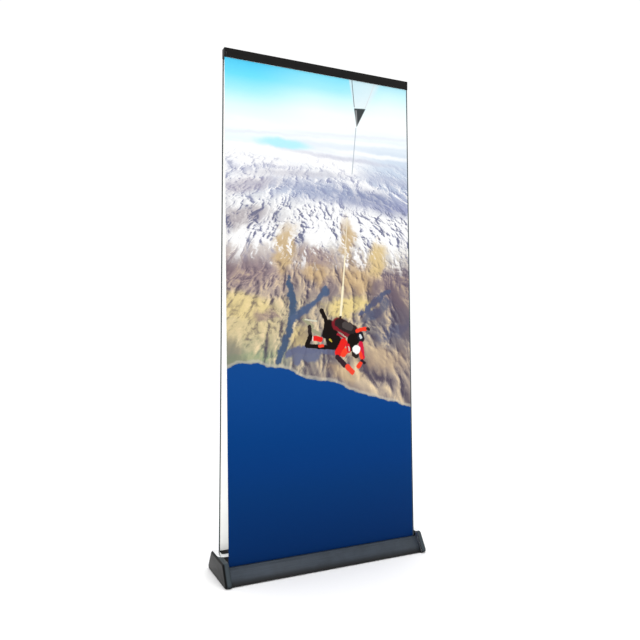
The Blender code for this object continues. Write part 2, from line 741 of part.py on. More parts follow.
# ---- The pole -----------------------------------------------------------------------------
def make_pole(paints):
    step = POLE_WALL + POLE_CLEARANCE
    radii = [POLE_RADIUS - i * step for i in range(3)]
    foot = FLOOR_Z + FLOOR_WALL + GAP + 0.0030 + GAP
    head_top = BRACKET_BOTTOM - GAP
    upper_top = head_top - HEAD_FLANGE - GAP
    spans = [
        ("pole_lower_tube", foot + 0.0010 + GAP, LOWER_TOP),
        ("pole_middle_tube", LOWER_TOP - POLE_OVERLAP, MIDDLE_TOP),
        ("pole_upper_tube", MIDDLE_TOP - POLE_OVERLAP, upper_top),
    ]
    up, axis_foot = (0, 0, 1), (0, 0, 0)
    for (name, low, high), radius in zip(spans, radii):
        tube(name, radius, POLE_WALL, low, high, paints["raw_aluminium"], up, axis_foot)
    plug = radii[0] - POLE_WALL - GAP
    foot_points = [
        (0, foot),
        (radii[0], foot),
        (radii[0], foot + 0.0010),
        (plug, foot + 0.0010),
        (plug, foot + POLE_PLUG),
        (0, foot + POLE_PLUG),
    ]
    revolve("pole_foot_plug", foot_points, paints["black_plastic"], up, axis_foot)
    plug = radii[2] - POLE_WALL - GAP
    head_points = [
        (0, upper_top - POLE_PLUG),
        (plug, upper_top - POLE_PLUG),
        (plug, head_top - HEAD_FLANGE),
        (radii[2], head_top - HEAD_FLANGE),
        (radii[2], head_top),
        (HEAD_STUB_RADIUS, head_top),
        (HEAD_STUB_RADIUS, head_top + HEAD_STUB - 0.001),
        (HEAD_STUB_RADIUS - 0.001, head_top + HEAD_STUB),
        (0, head_top + HEAD_STUB),
    ]
    revolve("pole_head", head_points, paints["black_plastic"], up, axis_foot)
    for name, top, radius in (("pole_lock_lower", LOWER_TOP, radii[0]),
                              ("pole_lock_upper", MIDDLE_TOP, radii[1])):
        outer = radius + COLLAR_WALL
        bore, neck = radius + GAP, radius - step + POLE_CLEARANCE
        points = [
            (bore, -COLLAR_BELOW),
            (outer - 0.001, -COLLAR_BELOW),
            (outer, -COLLAR_BELOW + 0.001),
            (outer, COLLAR_ABOVE - 0.006),
            (outer - 0.0025, COLLAR_ABOVE),
            (neck, COLLAR_ABOVE),
            (neck, GAP),
            (bore, GAP),
        ]
        revolve(name, points, paints["black_plastic"], up, (0, 0, top))


def clear_scene():
    for old in list(bpy.data.objects):
        bpy.data.objects.remove(old, do_unlink=True)


def build():
    clear_scene()
    paints = make_materials()
    make_chassis(paints)
    make_socket(paints)
    for side, sign in SIDES.items():
        make_cover(side, sign, paints)
        make_deck(side, sign, paints)
        make_slot_seal(side, sign, paints)
        tail = make_trim(side, sign, paints)[1]
        make_roller(side, sign, paints)
        make_leader(side, sign, paints)
        make_graphic(side, sign, paints)
        make_hem(side, sign, paints)
        make_jaw(side, sign, paints)
    make_spine(paints, tail)
    for end, sign in ENDS.items():
        make_end_cap(end, sign, paints)
        make_bearing_plate(end, sign, paints)
        make_rail_cap(end, sign, paints)
        for side, side_sign in SIDES.items():
            make_screw(end, sign, side, side_sign, paints)
            make_foot(end, sign, side, side_sign, paints)
    make_rail_core(paints)
    make_rail_bracket(paints)
    make_pole(paints)


build()
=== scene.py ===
# %% [markdown]
# # A double-sided roll-up banner stand
#
# The stand is a long base with two spring rollers inside, a telescopic pole that stands in the
# base, a snap rail on top of the pole, and two printed films stretched between rail and rollers.
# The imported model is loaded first. It is a fixed frame: each piece below is made in its place,
# in metres, and then told which moving body of the frame it rides on.

import json
import math

import bmesh
import bpy
from mathutils import Matrix, Vector

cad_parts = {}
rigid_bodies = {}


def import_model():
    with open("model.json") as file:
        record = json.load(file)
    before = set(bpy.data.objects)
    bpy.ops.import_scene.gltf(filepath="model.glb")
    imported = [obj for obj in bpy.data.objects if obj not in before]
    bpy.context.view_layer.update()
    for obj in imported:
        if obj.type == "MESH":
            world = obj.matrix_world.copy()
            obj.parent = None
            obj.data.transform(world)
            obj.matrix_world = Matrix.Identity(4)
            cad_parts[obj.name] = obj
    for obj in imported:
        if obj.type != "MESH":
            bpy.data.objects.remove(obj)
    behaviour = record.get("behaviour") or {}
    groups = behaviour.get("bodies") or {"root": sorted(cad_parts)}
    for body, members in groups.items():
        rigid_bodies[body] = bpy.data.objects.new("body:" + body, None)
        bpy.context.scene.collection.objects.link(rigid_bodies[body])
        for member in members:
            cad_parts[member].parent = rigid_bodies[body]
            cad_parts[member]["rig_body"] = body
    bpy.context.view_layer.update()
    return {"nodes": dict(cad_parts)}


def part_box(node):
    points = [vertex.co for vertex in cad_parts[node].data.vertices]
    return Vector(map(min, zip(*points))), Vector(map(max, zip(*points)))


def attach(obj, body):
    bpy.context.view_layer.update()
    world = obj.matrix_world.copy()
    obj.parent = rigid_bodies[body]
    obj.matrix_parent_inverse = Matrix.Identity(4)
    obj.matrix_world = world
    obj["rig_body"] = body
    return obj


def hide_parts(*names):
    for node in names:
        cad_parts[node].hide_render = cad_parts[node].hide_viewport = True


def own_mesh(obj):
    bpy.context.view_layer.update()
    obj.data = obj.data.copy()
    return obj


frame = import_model()
MM = 0.001

# %% [markdown]
# ## Shader maths in Python
#
# A procedural finish is a small sum: noise times a gain, plus an offset, held inside a band.
# Written node by node it is hard to read. A class that wraps a socket and overloads the signs
# lets the sum be written as one line, and each sign adds one Math node to the tree.
# Colours go through Mix nodes, because a Math node would turn a colour grey.


# %% Signals and finishes
class Signal:
    """An output socket that takes part in Python arithmetic."""

    def __init__(self, finish, node, output=0):
        self.finish, self.node, self.socket = finish, node, node.outputs[output]

    def out(self, output):
        """Another output of the same node."""
        return Signal(self.finish, self.node, output)

    def math(self, operation, *terms):
        return self.finish.node("ShaderNodeMath", {"operation": operation}, dict(enumerate(terms)))

    def __add__(self, other):
        return self.math("ADD", self, other)

    def __sub__(self, other):
        return self.math("SUBTRACT", self, other)

    def __mul__(self, other):
        return self.math("MULTIPLY", self, other)

    def __truediv__(self, other):
        return self.math("DIVIDE", self, other)

    def __rsub__(self, other):
        return self.math("SUBTRACT", other, self)

    def __rtruediv__(self, other):
        return self.math("DIVIDE", other, self)

    __radd__ = __add__
    __rmul__ = __mul__

    def at_least(self, low):
        return self.math("MAXIMUM", self, low)

    def at_most(self, high):
        return self.math("MINIMUM", self, high)

    def size(self):
        return self.math("ABSOLUTE", self)

    def band(self, low, high):
        """0 below low, 1 above high, and a smooth step between."""
        settings = {"interpolation_type": "SMOOTHSTEP"}
        return self.finish.node("ShaderNodeMapRange", settings, {0: self, 1: low, 2: high})


def rgb(code):
    """A #rrggbb colour as the linear numbers that sockets take."""
    parts = [int(code[i : i + 2], 16) / 255 for i in (1, 3, 5)]
    return [c / 12.92 if c <= 0.04045 else ((c + 0.055) / 1.055) ** 2.4 for c in parts] + [1]


class Finish:
    """One material. Sockets that are the same all over are set on the shader itself."""

    def __init__(self, name, **constants):
        self.material = bpy.data.materials.new(name)
        self.material.use_nodes = True
        self.tree = self.material.node_tree
        self.shader = self.tree.nodes["Principled BSDF"]
        for socket, value in constants.items():
            self.shader.inputs[socket.replace("_", " ")].default_value = value

    def node(self, kind, settings=(), sockets=()):
        """Adds a node: its settings first, then the values or links of its sockets."""
        made = self.tree.nodes.new(kind)
        for name, value in dict(settings).items():
            if name == "stops":
                set_stops(made.color_ramp, value)
            elif name == "curve":
                set_curve(made, value)
            else:
                setattr(made, name, value)
        for name, value in dict(sockets).items():
            self.feed(made.inputs[name], value)
        return Signal(self, made)

    def feed(self, socket, value):
        """Links a signal to a socket, or sets the socket to a number or a #rrggbb colour."""
        if isinstance(value, Signal):
            self.tree.links.new(value.socket, socket)
        else:
            socket.default_value = rgb(value) if isinstance(value, str) else value

    def drive(self, socket, value):
        """Feeds one socket of the shader."""
        self.feed(self.shader.inputs[socket], value)

    def place(self):
        """Where a point lies on the object, in metres."""
        return self.node("ShaderNodeTexCoord").out("Object")

    def stretch(self, vector, scale):
        return self.node("ShaderNodeMapping", {"vector_type": "POINT"}, {0: vector, 3: scale})

    def vector(self, operation, *terms):
        return self.node("ShaderNodeVectorMath", {"operation": operation}, dict(enumerate(terms)))

    def scaled(self, vector, amount):
        sockets = {0: vector, "Scale": amount}
        return self.node("ShaderNodeVectorMath", {"operation": "SCALE"}, sockets)

    def noise(self, vector, scale, detail=3, roughness=0.5):
        sockets = {"Vector": vector, "Scale": scale, "Detail": detail, "Roughness": roughness}
        return self.node("ShaderNodeTexNoise", (), sockets)

    def mix(self, mask, under, over):
        """The colour under where the mask is 0, and the colour over where it is 1."""
        sockets = {0: mask, 6: under, 7: over}
        return self.node("ShaderNodeMix", {"data_type": "RGBA"}, sockets).out(2)

    def ramp(self, value, stops):
        return self.node("ShaderNodeValToRGB", {"stops": stops}, {0: value})

    def bump(self, height, distance, strength=1.0):
        sockets = {"Strength": strength, "Distance": distance, "Height": height}
        self.drive("Normal", self.node("ShaderNodeBump", (), sockets))


def set_stops(ramp, stops):
    while len(ramp.elements) < len(stops):
        ramp.elements.new(1.0)
    for element, (position, colour) in zip(ramp.elements, stops):
        element.position = position
        element.color = rgb(colour)


def set_curve(node, points):
    curve = node.mapping.curves[0]
    while len(curve.points) < len(points):
        curve.points.new(0.5, 0.5)
    for point, place in zip(curve.points, points):
        point.location = place
        point.handle_type = "AUTO_CLAMPED"
    node.mapping.update()


print("shader helpers ready")

# %% [markdown]
# ## Metal and plastic finishes
#
# Most of the stand is extruded aluminium. An extrusion is drawn through a die and then brushed
# or anodised, so its marks run along its length: the noise is stretched a hundred times and
# more, along X for the base and along Z for the pole. Moulded plastic has a fine even grain
# instead. Handling wears both: edges and broad areas differ a little in shade and in gloss.
# The end caps are moulded black. Their faces that look to the front and the back get a lighter
# slate as painted light, and their sides and their foot stay dark as painted shade.


# %% Drawn metal and moulded plastic
def drawn_metal(name, light, dark, metallic, roughness, along, clearcoat_and_painted_light=0.0, gloss=0.5, toe_shade=None):
    """Aluminium with draw lines along one axis, and soft clouds in the anodised layer.
    A toe shade colour paints shade on it towards the floor, where its lower face gets less light."""
    finish = Finish(
        name, Metallic=metallic, Coat_Weight=clearcoat_and_painted_light, Coat_Roughness=0.12, Specular_IOR_Level=gloss
    )
    place = finish.place()
    lines = finish.noise(finish.stretch(place, along), 900, 4, 0.65)
    clouds = finish.noise(place, 14, 4, 0.6)
    specks = finish.noise(place, 2600, 1)
    shade = lines * 0.6 + clouds * 0.4
    colour = finish.mix(shade.band(0.38, 0.62), dark, light)
    if toe_shade:
        # Painted shade: the colour darkens towards the floor.
        height = finish.node("ShaderNodeSeparateXYZ", (), {0: place}).out(2)
        rubbed_and_floor_shade = 1 - (height + (clouds - 0.5) * 0.004).band(0.004, 0.034)
        colour = finish.mix(rubbed_and_floor_shade, colour, toe_shade)
    finish.drive("Base Color", colour)
    finish.drive("Roughness", roughness + (clouds - 0.5) * 0.14 + (lines - 0.5) * 0.12)
    finish.bump(lines * 0.7 + specks * 0.3, 0.00004, 0.5)
    return finish.material


def moulded_plastic(name, light, dark, roughness, grain=1500, depth=0.00006, gloss=0.3, front=None):
    """Plastic with the fine leathery grain of a spark-eroded mould. A front colour is painted
    light: it lightens the faces that look to the front and the back, leaves the faces that look
    sideways darker as painted shade, and fades towards the floor as painted shade."""
    finish = Finish(name, Specular_IOR_Level=gloss)
    place = finish.place()
    settings = {"feature": "SMOOTH_F1"}
    cells = finish.node("ShaderNodeTexVoronoi", settings, {"Vector": place, "Scale": grain})
    clouds = finish.noise(place, 22, 4, 0.6)
    rubbed_and_floor_shade = finish.noise(place, 160, 3, 0.7).band(0.60, 0.78)
    colour = finish.mix(clouds.band(0.35, 0.65), dark, light)
    if front:
        # Painted light on faces that look to the front or back; painted shade on the sides and near
        # the floor.
        facing = finish.node("ShaderNodeNewGeometry").out(1)
        sideways = finish.node("ShaderNodeSeparateXYZ", (), {0: facing}).out(0).size()
        height = finish.node("ShaderNodeSeparateXYZ", (), {0: place}).out(2)
        clearcoat_and_painted_light = 1 - (sideways + (clouds - 0.5) * 0.10).band(0.18, 0.62)
        clearcoat_and_painted_light = clearcoat_and_painted_light * (0.2 + (height + (clouds - 0.5) * 0.004).band(0.002, 0.020) * 0.8)
        colour = finish.mix(clearcoat_and_painted_light, colour, front)
    finish.drive("Base Color", colour)
    finish.drive("Roughness", roughness + (clouds - 0.5) * 0.12 - rubbed_and_floor_shade * 0.08)
    finish.bump(cells * 0.8 + clouds * 0.2, depth, 0.6)
    return finish.material


ALONG_X, ALONG_Z = (0.008, 1, 1), (1, 1, 0.008)
paints = {
    # The slate's toe shade colour is painted shade towards the floor.
    "slate_aluminium": drawn_metal(
        "slate_aluminium", "#353d47", "#293038", 0.35, 0.40, ALONG_X, gloss=0.35, toe_shade="#0b0c0d"
    ),
    "raw_aluminium": drawn_metal("raw_aluminium", "#d2d4d6", "#b9bcbf", 1.0, 0.30, ALONG_X),
    "pole_aluminium": drawn_metal("pole_aluminium", "#d6d8da", "#bfc2c5", 1.0, 0.24, ALONG_Z),
    "black_aluminium": drawn_metal(
        "black_aluminium", "#141211", "#0c0b0a", 0.2, 0.45, ALONG_X, gloss=0.14
    ),
    "silver_trim": drawn_metal("silver_trim", "#f4f5f6", "#e6e8ea", 0.85, 0.16, ALONG_X, 0.6),
    "zinc_steel": drawn_metal("zinc_steel", "#cdd0d4", "#a9adb2", 1.0, 0.34, (1, 1, 1)),
    "spring_steel": drawn_metal("spring_steel", "#9a9b9e", "#7c7d80", 1.0, 0.30, (1, 1, 1)),
    # The caps' front colour is painted light on their front and rear faces.
    "charcoal_plastic": moulded_plastic(
        "charcoal_plastic", "#090a0b", "#050606", 0.34, gloss=0.07, front="#3a4247"
    ),
    "black_plastic": moulded_plastic("black_plastic", "#131314", "#0b0b0c", 0.46, gloss=0.12),
    "rubber": moulded_plastic("rubber", "#1b1b1b", "#121212", 0.78, 700, 0.00012),
}
print("drawn and moulded finishes:", len(paints))

# %% [markdown]
# ## Felt and plain film
#
# A strip of black felt wipes the film as it is drawn out: short fibres that lie every way, so
# the finish is very rough, with a bump from noise pulled out in two directions.
# The plain side of the film is white and smooth. The laminate leaves a faint orange peel, and
# the grey layer that stops light from coming through shows as a soft unevenness.


# %% Felt and white film
def felt_finish():
    finish = Finish("felt", Sheen_Weight=0.1, Specular_IOR_Level=0.05)
    place = finish.place()
    fibres = finish.noise(finish.stretch(place, (1, 3, 0.4)), 1400, 5, 0.7)
    crossed = finish.noise(finish.stretch(place, (0.4, 1, 3)), 1700, 5, 0.7)
    finish.drive("Base Color", finish.mix((fibres + crossed) * 0.5, "#0b0b0c", "#1f1f21"))
    finish.drive("Roughness", 0.88 + crossed * 0.1)
    finish.bump(fibres + crossed, 0.0004, 0.8)
    return finish.material


def white_film_finish():
    # The emission is painted light: the plain side glows a little, so that it stays white in the
    # shade between the two sheets.
    finish = Finish("white_film", Specular_IOR_Level=0.4, Emission_Strength=0.14)
    place = finish.place()
    blotches = finish.noise(place, 6, 4, 0.55)
    peel = finish.noise(place, 260, 3, 0.5)
    colour = finish.mix(blotches, "#f4f4f2", "#fdfdfb")
    finish.drive("Base Color", colour)
    finish.drive("Emission Color", colour)
    finish.drive("Roughness", 0.40 + peel * 0.10)
    finish.bump(peel, 0.00006, 0.4)
    return finish.material


paints["felt"] = felt_finish()
paints["white_film"] = white_film_finish()
print("felt and white film made")

# %% [markdown]
# ## The print: an air view over snowy mountains and a lake
#
# The film carries one large picture: a bright sky, far clouds and snow ranges, brown slopes, a
# deep blue lake, and two helmeted sky divers under a small drogue. An image would have one
# fixed sharpness. Painted with nodes the print stays sharp, and it squashes with the film,
# because it follows the film's own flat coordinates: u runs from left to right and v from
# the top edge down, both from 0 to 1. A material with too many masks can render black without
# an error. The patches and valleys here number fifty: with six more the print still rendered,
# and with ten more it came out black. So look at the print after adding to it.
#
# It is painted as a water colour is: broad washes down the sheet, then patches of colour with
# ragged rims, then light and shade from a height noise, and the small sharp things last.

# %% The print's coordinates
TALL = 2.34  # the visible sheet's height in widths
# RIM is the dark border at the film's edge: grey core at the cut, and painted shade.
RIM = 0.0062  # the dark trimmed edge, as a share of the width

ink = Finish("printed_film", Specular_IOR_Level=0.04)
uv = ink.node("ShaderNodeUVMap", {"uv_map": "print"})
split = ink.node("ShaderNodeSeparateXYZ", (), {0: uv})
u = split.out(0)
v = 1 - split.out(1)
flat = ink.node("ShaderNodeCombineXYZ", (), {0: u, 1: v * TALL})
rough = ink.noise(flat, 7, 7, 0.62)


def warped(scale, detail, amount):
    """The flat coordinates pushed about by a colour noise."""
    push = ink.noise(flat, scale, detail, 0.6).out(1)
    push = ink.vector("SUBTRACT", push, (0.5, 0.5, 0.5))
    return ink.vector("ADD", flat, ink.scaled(push, amount))


near_land = (v - 0.10).band(0.0, 0.30)
ragged = warped(11, 6, 0.02 + near_land * 0.13)
creased = warped(60, 3, 0.012)
print("print coordinates: u across, v down, 1 by", TALL)

# %% [markdown]
# ### Washes
#
# Three colour ramps run down the sheet, for its left side, its middle and its right side, and
# are mixed across. Each ramp reads v plus a little noise, so that no band is a straight line.

# %% Washes from sky to shore
WASHES = {
    "left": [
        (0.00, "#52c8ee"), (0.03, "#6cdaf6"), (0.06, "#a5eaf9"), (0.09, "#dbf7fc"),
        (0.13, "#f6fdfb"), (0.16, "#e6f2f7"), (0.18, "#f8f9f8"), (0.205, "#eaecf2"),
        (0.225, "#f2f3f6"), (0.25, "#ccd2e0"), (0.28, "#e8e9ea"), (0.32, "#c3c1c8"),
        (0.35, "#eeebe6"), (0.38, "#c9bfbb"), (0.42, "#a89697"), (0.46, "#ac9c94"),
        (0.485, "#dccb9e"), (0.54, "#c8bb96"), (0.575, "#a8a685"), (0.61, "#8f9a8a"),
    ],
    "middle": [
        (0.00, "#7fdaf0"), (0.03, "#a2e6f7"), (0.05, "#cdf2fa"), (0.08, "#effbfb"),
        (0.12, "#f2f8fa"), (0.15, "#e0e8f1"), (0.18, "#f6f7f8"), (0.20, "#eef0f2"),
        (0.225, "#c9cddb"), (0.25, "#a9b6cf"), (0.27, "#c9cdda"), (0.29, "#ebecec"),
        (0.35, "#e6e5e1"), (0.385, "#bcaea4"), (0.42, "#b59e88"), (0.455, "#9c8d88"),
        (0.49, "#9a9088"), (0.53, "#ab9f8c"), (0.59, "#8c8580"), (0.66, "#a09186"),
    ],
    "right": [
        (0.00, "#abe2ee"), (0.02, "#c9eff8"), (0.05, "#e8f7fb"), (0.09, "#f7fbfc"),
        (0.12, "#e9f1f6"), (0.15, "#d6e1ec"), (0.18, "#c9d6e6"), (0.22, "#bfcbdd"),
        (0.25, "#b0b8d0"), (0.275, "#a9add2"), (0.295, "#f4f5f5"), (0.35, "#e9e8e2"),
        (0.39, "#d6d0c6"), (0.425, "#8f7f84"), (0.46, "#8a7a80"), (0.51, "#736d78"),
        (0.56, "#7f7a80"), (0.60, "#a2958c"), (0.66, "#978a85"), (0.72, "#a5978c"),
    ],
}
far_streaks = ink.noise(ink.stretch(flat, (1.0, 9.0, 1.0)), 3.2, 5, 0.6)
level = v + (rough - 0.5) * near_land * 0.08
level = level + (far_streaks - 0.5) * (v - 0.08).band(0.0, 0.05) * 0.03
left, middle, right = (ink.ramp(level, stops) for stops in WASHES.values())
across = u + (rough - 0.5) * 0.25 * near_land
picture = ink.mix(across.band(0.12, 0.48), left, middle)
picture = ink.mix(across.band(0.58, 0.90), picture, right)
print("washes:", sum(len(stops) for stops in WASHES.values()), "stops")

# %% [markdown]
# ### Patches
#
# A patch is an ellipse. A Mapping node set to Texture takes its centre, lean and size out of
# the coordinates in one step, so the length of what is left is 1 on the ellipse's rim.
# The coordinates are the ragged ones, which gives each patch a torn natural edge.


# %% Ragged patches of colour
def patch(under, colour, centre, size, lean, soft, weight):
    """Lays an ellipse of colour on what is under it; centre and size are in u and v."""
    sockets = {
        "Vector": ragged,
        "Location": (centre[0], centre[1] * TALL, 0),
        "Rotation": (0, 0, math.radians(lean)),
        "Scale": (size[0], size[1] * TALL, 1),
    }
    inside = ink.node("ShaderNodeMapping", {"vector_type": "TEXTURE"}, sockets)
    reach = ink.vector("LENGTH", inside).out(1)
    return ink.mix((1 - reach.band(1 - soft, 1 + soft)) * weight, under, colour)


WHITE, SHADE = "#fafafa", "#c6c8d6"
OCHRE, SLATE = "#cbaf80", "#465a76"
HAZE, AQUA = "#e3e8f0", "#b2e9f6"
FAR_PATCHES = [
    # colour, centre, size, lean, softness, weight
    (HAZE, (0.75, 0.121), (0.40, 0.0035), -3, 0.8, 0.8),
    (HAZE, (0.15, 0.142), (0.30, 0.0035), -3, 0.8, 0.8),
    ("#f6f7f9", (0.70, 0.136), (0.30, 0.0045), -2, 0.8, 0.8),
    (AQUA, (0.29, 0.158), (0.13, 0.010), 0, 0.45, 0.95),
    (WHITE, (0.25, 0.177), (0.40, 0.008), 2, 0.5, 0.9),
    (WHITE, (0.80, 0.160), (0.25, 0.005), 1, 0.6, 0.7),
    (SHADE, (0.62, 0.175), (0.30, 0.005), 2, 0.8, 0.7),
    (WHITE, (0.56, 0.196), (0.16, 0.010), 10, 0.5, 0.95),
    (WHITE, (0.16, 0.200), (0.22, 0.008), 4, 0.6, 0.8),
    (SHADE, (0.20, 0.212), (0.22, 0.007), -4, 0.6, 0.8),
    (WHITE, (0.15, 0.228), (0.18, 0.009), -12, 0.5, 0.85),
    (WHITE, (0.74, 0.232), (0.12, 0.011), 16, 0.5, 0.9),
    (WHITE, (0.48, 0.320), (0.13, 0.045), -14, 0.5, 0.9),
    (WHITE, (0.80, 0.325), (0.24, 0.040), 12, 0.5, 0.9),
    (WHITE, (0.12, 0.350), (0.14, 0.016), -16, 0.5, 0.9),
]
NEAR_PATCHES = [
    (OCHRE, (0.29, 0.375), (0.050, 0.050), 8, 0.4, 0.85),
    (OCHRE, (0.635, 0.350), (0.034, 0.042), -6, 0.5, 0.85),
    ("#dcc28a", (0.80, 0.390), (0.050, 0.036), 14, 0.5, 0.9),
    ("#8f7b80", (0.10, 0.425), (0.13, 0.032), -14, 0.5, 0.7),
    ("#9c8480", (0.46, 0.385), (0.09, 0.022), 12, 0.5, 0.6),
    ("#c9ab80", (0.46, 0.425), (0.060, 0.026), 24, 0.4, 0.8),
    ("#c7aa80", (0.68, 0.435), (0.090, 0.034), 14, 0.5, 0.85),
    ("#7c6a74", (0.93, 0.450), (0.09, 0.034), 14, 0.4, 0.8),
    ("#dfcb92", (0.08, 0.492), (0.13, 0.024), 4, 0.4, 0.9),
    ("#cdbd8f", (0.09, 0.535), (0.15, 0.020), 2, 0.5, 0.7),
    ("#97827e", (0.19, 0.510), (0.055, 0.011), 10, 0.5, 0.8),
    ("#93a27f", (0.10, 0.593), (0.15, 0.012), -2, 0.6, 0.85),
    ("#e6d08c", (0.64, 0.492), (0.13, 0.018), -8, 0.4, 0.95),
    ("#dcc68c", (0.36, 0.562), (0.060, 0.024), -30, 0.4, 0.85),
    ("#4e5976", (0.81, 0.500), (0.10, 0.014), -30, 0.4, 0.85),
    ("#5c617c", (0.90, 0.545), (0.12, 0.012), -20, 0.5, 0.7),
    ("#b9a084", (0.78, 0.600), (0.18, 0.024), 14, 0.5, 0.7),
    ("#c9ae88", (0.60, 0.630), (0.10, 0.016), 16, 0.5, 0.75),
    ("#766b76", (0.96, 0.460), (0.09, 0.035), 14, 0.6, 0.6),
    ("#8c7c80", (0.52, 0.455), (0.05, 0.020), 20, 0.6, 0.5),
]
BETWEEN_PATCHES = [  # bare blue and brown flanks between the snowy crests
    ("#868eae", (0.80, 0.262), (0.20, 0.021), 10, 0.6, 0.70),
    ("#9aa2bf", (0.48, 0.250), (0.21, 0.014), 8, 0.6, 0.60),
    ("#aea3ae", (0.10, 0.250), (0.15, 0.014), -8, 0.6, 0.55),
    ("#a39799", (0.09, 0.312), (0.12, 0.017), -14, 0.6, 0.60),
    ("#c0bfca", (0.34, 0.218), (0.24, 0.006), -4, 0.7, 0.60),
    ("#b3b9cf", (0.88, 0.212), (0.16, 0.010), 4, 0.7, 0.60),
]


def lay(under, patches):
    for settings in patches:
        under = patch(under, *settings)
    return under


picture = lay(picture, FAR_PATCHES)
print("patches:", len(FAR_PATCHES), "far,", len(NEAR_PATCHES), "near")

# %% [markdown]
# ### Valleys, straps and limbs
#
# A stroke is the set of points near a line from one point to another. How far along the line a
# point lies is a dot product, held between 0 and 1; the distance to that place on the line
# is then compared with the stroke's half width. The same stroke draws a shaded valley with a
# ragged rim, and later a strap or a sleeve with a sharp one.


# %% Strokes
def stroke(under, colour, start, end, radius, soft=0.15, vector=flat):
    """Lays a round-ended line of colour; radius is a share of the width."""
    a = Vector((start[0], start[1] * TALL, 0))
    run = Vector((end[0], end[1] * TALL, 0)) - a
    local = ink.vector("SUBTRACT", vector, a)
    along = ink.vector("DOT_PRODUCT", local, run / run.length_squared).out(1)
    along = ink.node("ShaderNodeClamp", (), {0: along})
    away = ink.vector("DISTANCE", local, ink.scaled(run, along)).out(1)
    mask = 1 - away.band(radius * (1 - soft), radius * (1 + soft))
    return ink.mix(mask, under, colour)


VALLEYS = [
    (SLATE, (0.312, 0.432), (0.332, 0.490), 0.015),
    (SLATE, (0.332, 0.490), (0.318, 0.525), 0.023),
    (SLATE, (0.318, 0.525), (0.272, 0.580), 0.020),
    (SLATE, (0.272, 0.580), (0.252, 0.604), 0.018),
    ("#4f6180", (0.515, 0.455), (0.41, 0.495), 0.018),
    ("#4f6180", (0.41, 0.495), (0.33, 0.522), 0.022),
    ("#666b86", (0.31, 0.590), (0.54, 0.586), 0.022),
    ("#6b7088", (0.35, 0.604), (0.46, 0.598), 0.020),
    ("#575d78", (0.70, 0.512), (0.86, 0.458), 0.015),
]
print("valleys:", len(VALLEYS))

# %% [markdown]
# ### Relief
#
# Mountains seen from the air get smaller towards the horizon. Dividing by the depth below the
# horizon gives the ground's own coordinates, as a perspective drawing does. A ridged noise over
# the ground is the height, and the same noise read a little to one side and subtracted is
# the slope towards the sun: it lightens one face of each ridge and darkens the other.
# Large folds part the snow into ranges, and small ones give each range its rocks.

# %% Hill shading and rocks in the snow
HORIZON, NEAREST_DEPTH, EYE_HEIGHT = 0.02, 0.05, 1.05
TO_THE_SUN = (-0.024, 0.014, 0)
depth = (v - HORIZON).at_least(NEAREST_DEPTH)
ground = {0: (u - 0.5) / depth, 1: -EYE_HEIGHT / depth}
ground = ink.node("ShaderNodeCombineXYZ", (), ground)
bend = ink.scaled(ink.noise(ground, 1.1, 3).out(1), 0.45)
ground = ink.vector("ADD", ground, bend)
sunward = ink.vector("ADD", ground, TO_THE_SUN)


def height_at(vector, scale, detail, sharpness):
    """Sharp crests and smooth valleys: a ridged noise over long slanting folds."""
    folds = ink.node("ShaderNodeMapping", (), {0: vector, 2: (0, 0, 0.7), 3: (1.35, 0.85, 1)})
    sockets = {
        "Vector": folds, "Scale": scale, "Detail": detail, "Roughness": sharpness,
        "Lacunarity": 2.15, "Offset": 0.88, "Gain": 1.7,
    }
    return ink.node("ShaderNodeTexNoise", {"noise_type": "RIDGED_MULTIFRACTAL"}, sockets)


RIDGES, RANGES = (2.3, 9, 0.66), (1.35, 7, 0.60)  # scale, detail, sharpness
here = height_at(ground, *RIDGES)
slope = here - height_at(sunward, *RIDGES)
range_slope = height_at(ground, *RANGES) - height_at(sunward, *RANGES)
land = (v + (rough - 0.5) * 0.03).band(0.160, 0.235)
near = (v + (rough - 0.5) * 0.04).band(0.34, 0.44)
fine = 0.30 + near * 0.70
lit = (slope * land * fine * 0.75).at_least(0).at_most(0.60)
shaded = (slope * land * fine * -1.15).at_least(0).at_most(0.70)
ranges = (range_slope * -2.6).band(0.05, 0.60) * land * (1 - near)
picture = ink.mix(ranges * 0.80, picture, "#7d84aa")
sunlit_snow = (range_slope * 2.6).band(0.0, 0.55) * land * (1 - near)
picture = ink.mix(sunlit_snow * 0.95, picture, WHITE)
picture = lay(picture, BETWEEN_PATCHES)
picture = ink.mix(shaded, picture, ink.mix(near, "#7f82a6", "#4a4258"))
picture = ink.mix(lit, picture, ink.mix(near, "#ffffff", "#ffe6bd"))

snow_line = 0.385 + (rough - 0.5) * 0.16 + (u - 0.5) * 0.03
snow_belt = (v + (rough - 0.5) * 0.05).band(0.265, 0.30) * (1 - (v - snow_line).band(-0.02, 0.02))
crags = (range_slope * -2.4 + slope * -0.7).band(0.12, 0.62)
picture = ink.mix(crags * snow_belt * 0.85, picture, "#676a86")
picture = lay(picture, NEAR_PATCHES)
picture = ink.mix(shaded * near * 0.85, picture, "#443c50")
picture = ink.mix(lit * near * 0.55, picture, "#ffe3b0")
torn = warped(12, 8, 0.10)
for colour, start, end, radius in VALLEYS:
    picture = stroke(picture, colour, start, end, radius, 0.35, torn)
picture = ink.mix(shaded * near * 0.4, picture, "#3a3650")
tongues = (range_slope * 1.6 + slope * 0.4).band(0.05, 0.35)
tongues = tongues * (v + (rough - 0.5) * 0.10).band(0.33, 0.36)
tongues = tongues * (1 - (v + (rough - 0.5) * 0.14).band(0.385, 0.415))
picture = ink.mix(tongues * 0.85, picture, WHITE)
gullies = (0.8 - here).band(0.1, 0.6) * (v + (rough - 0.5) * 0.06).band(0.38, 0.42)
picture = ink.mix(gullies * 0.40, picture, "#5a4a58")
scrub = ink.noise(flat, 70, 6, 0.7)
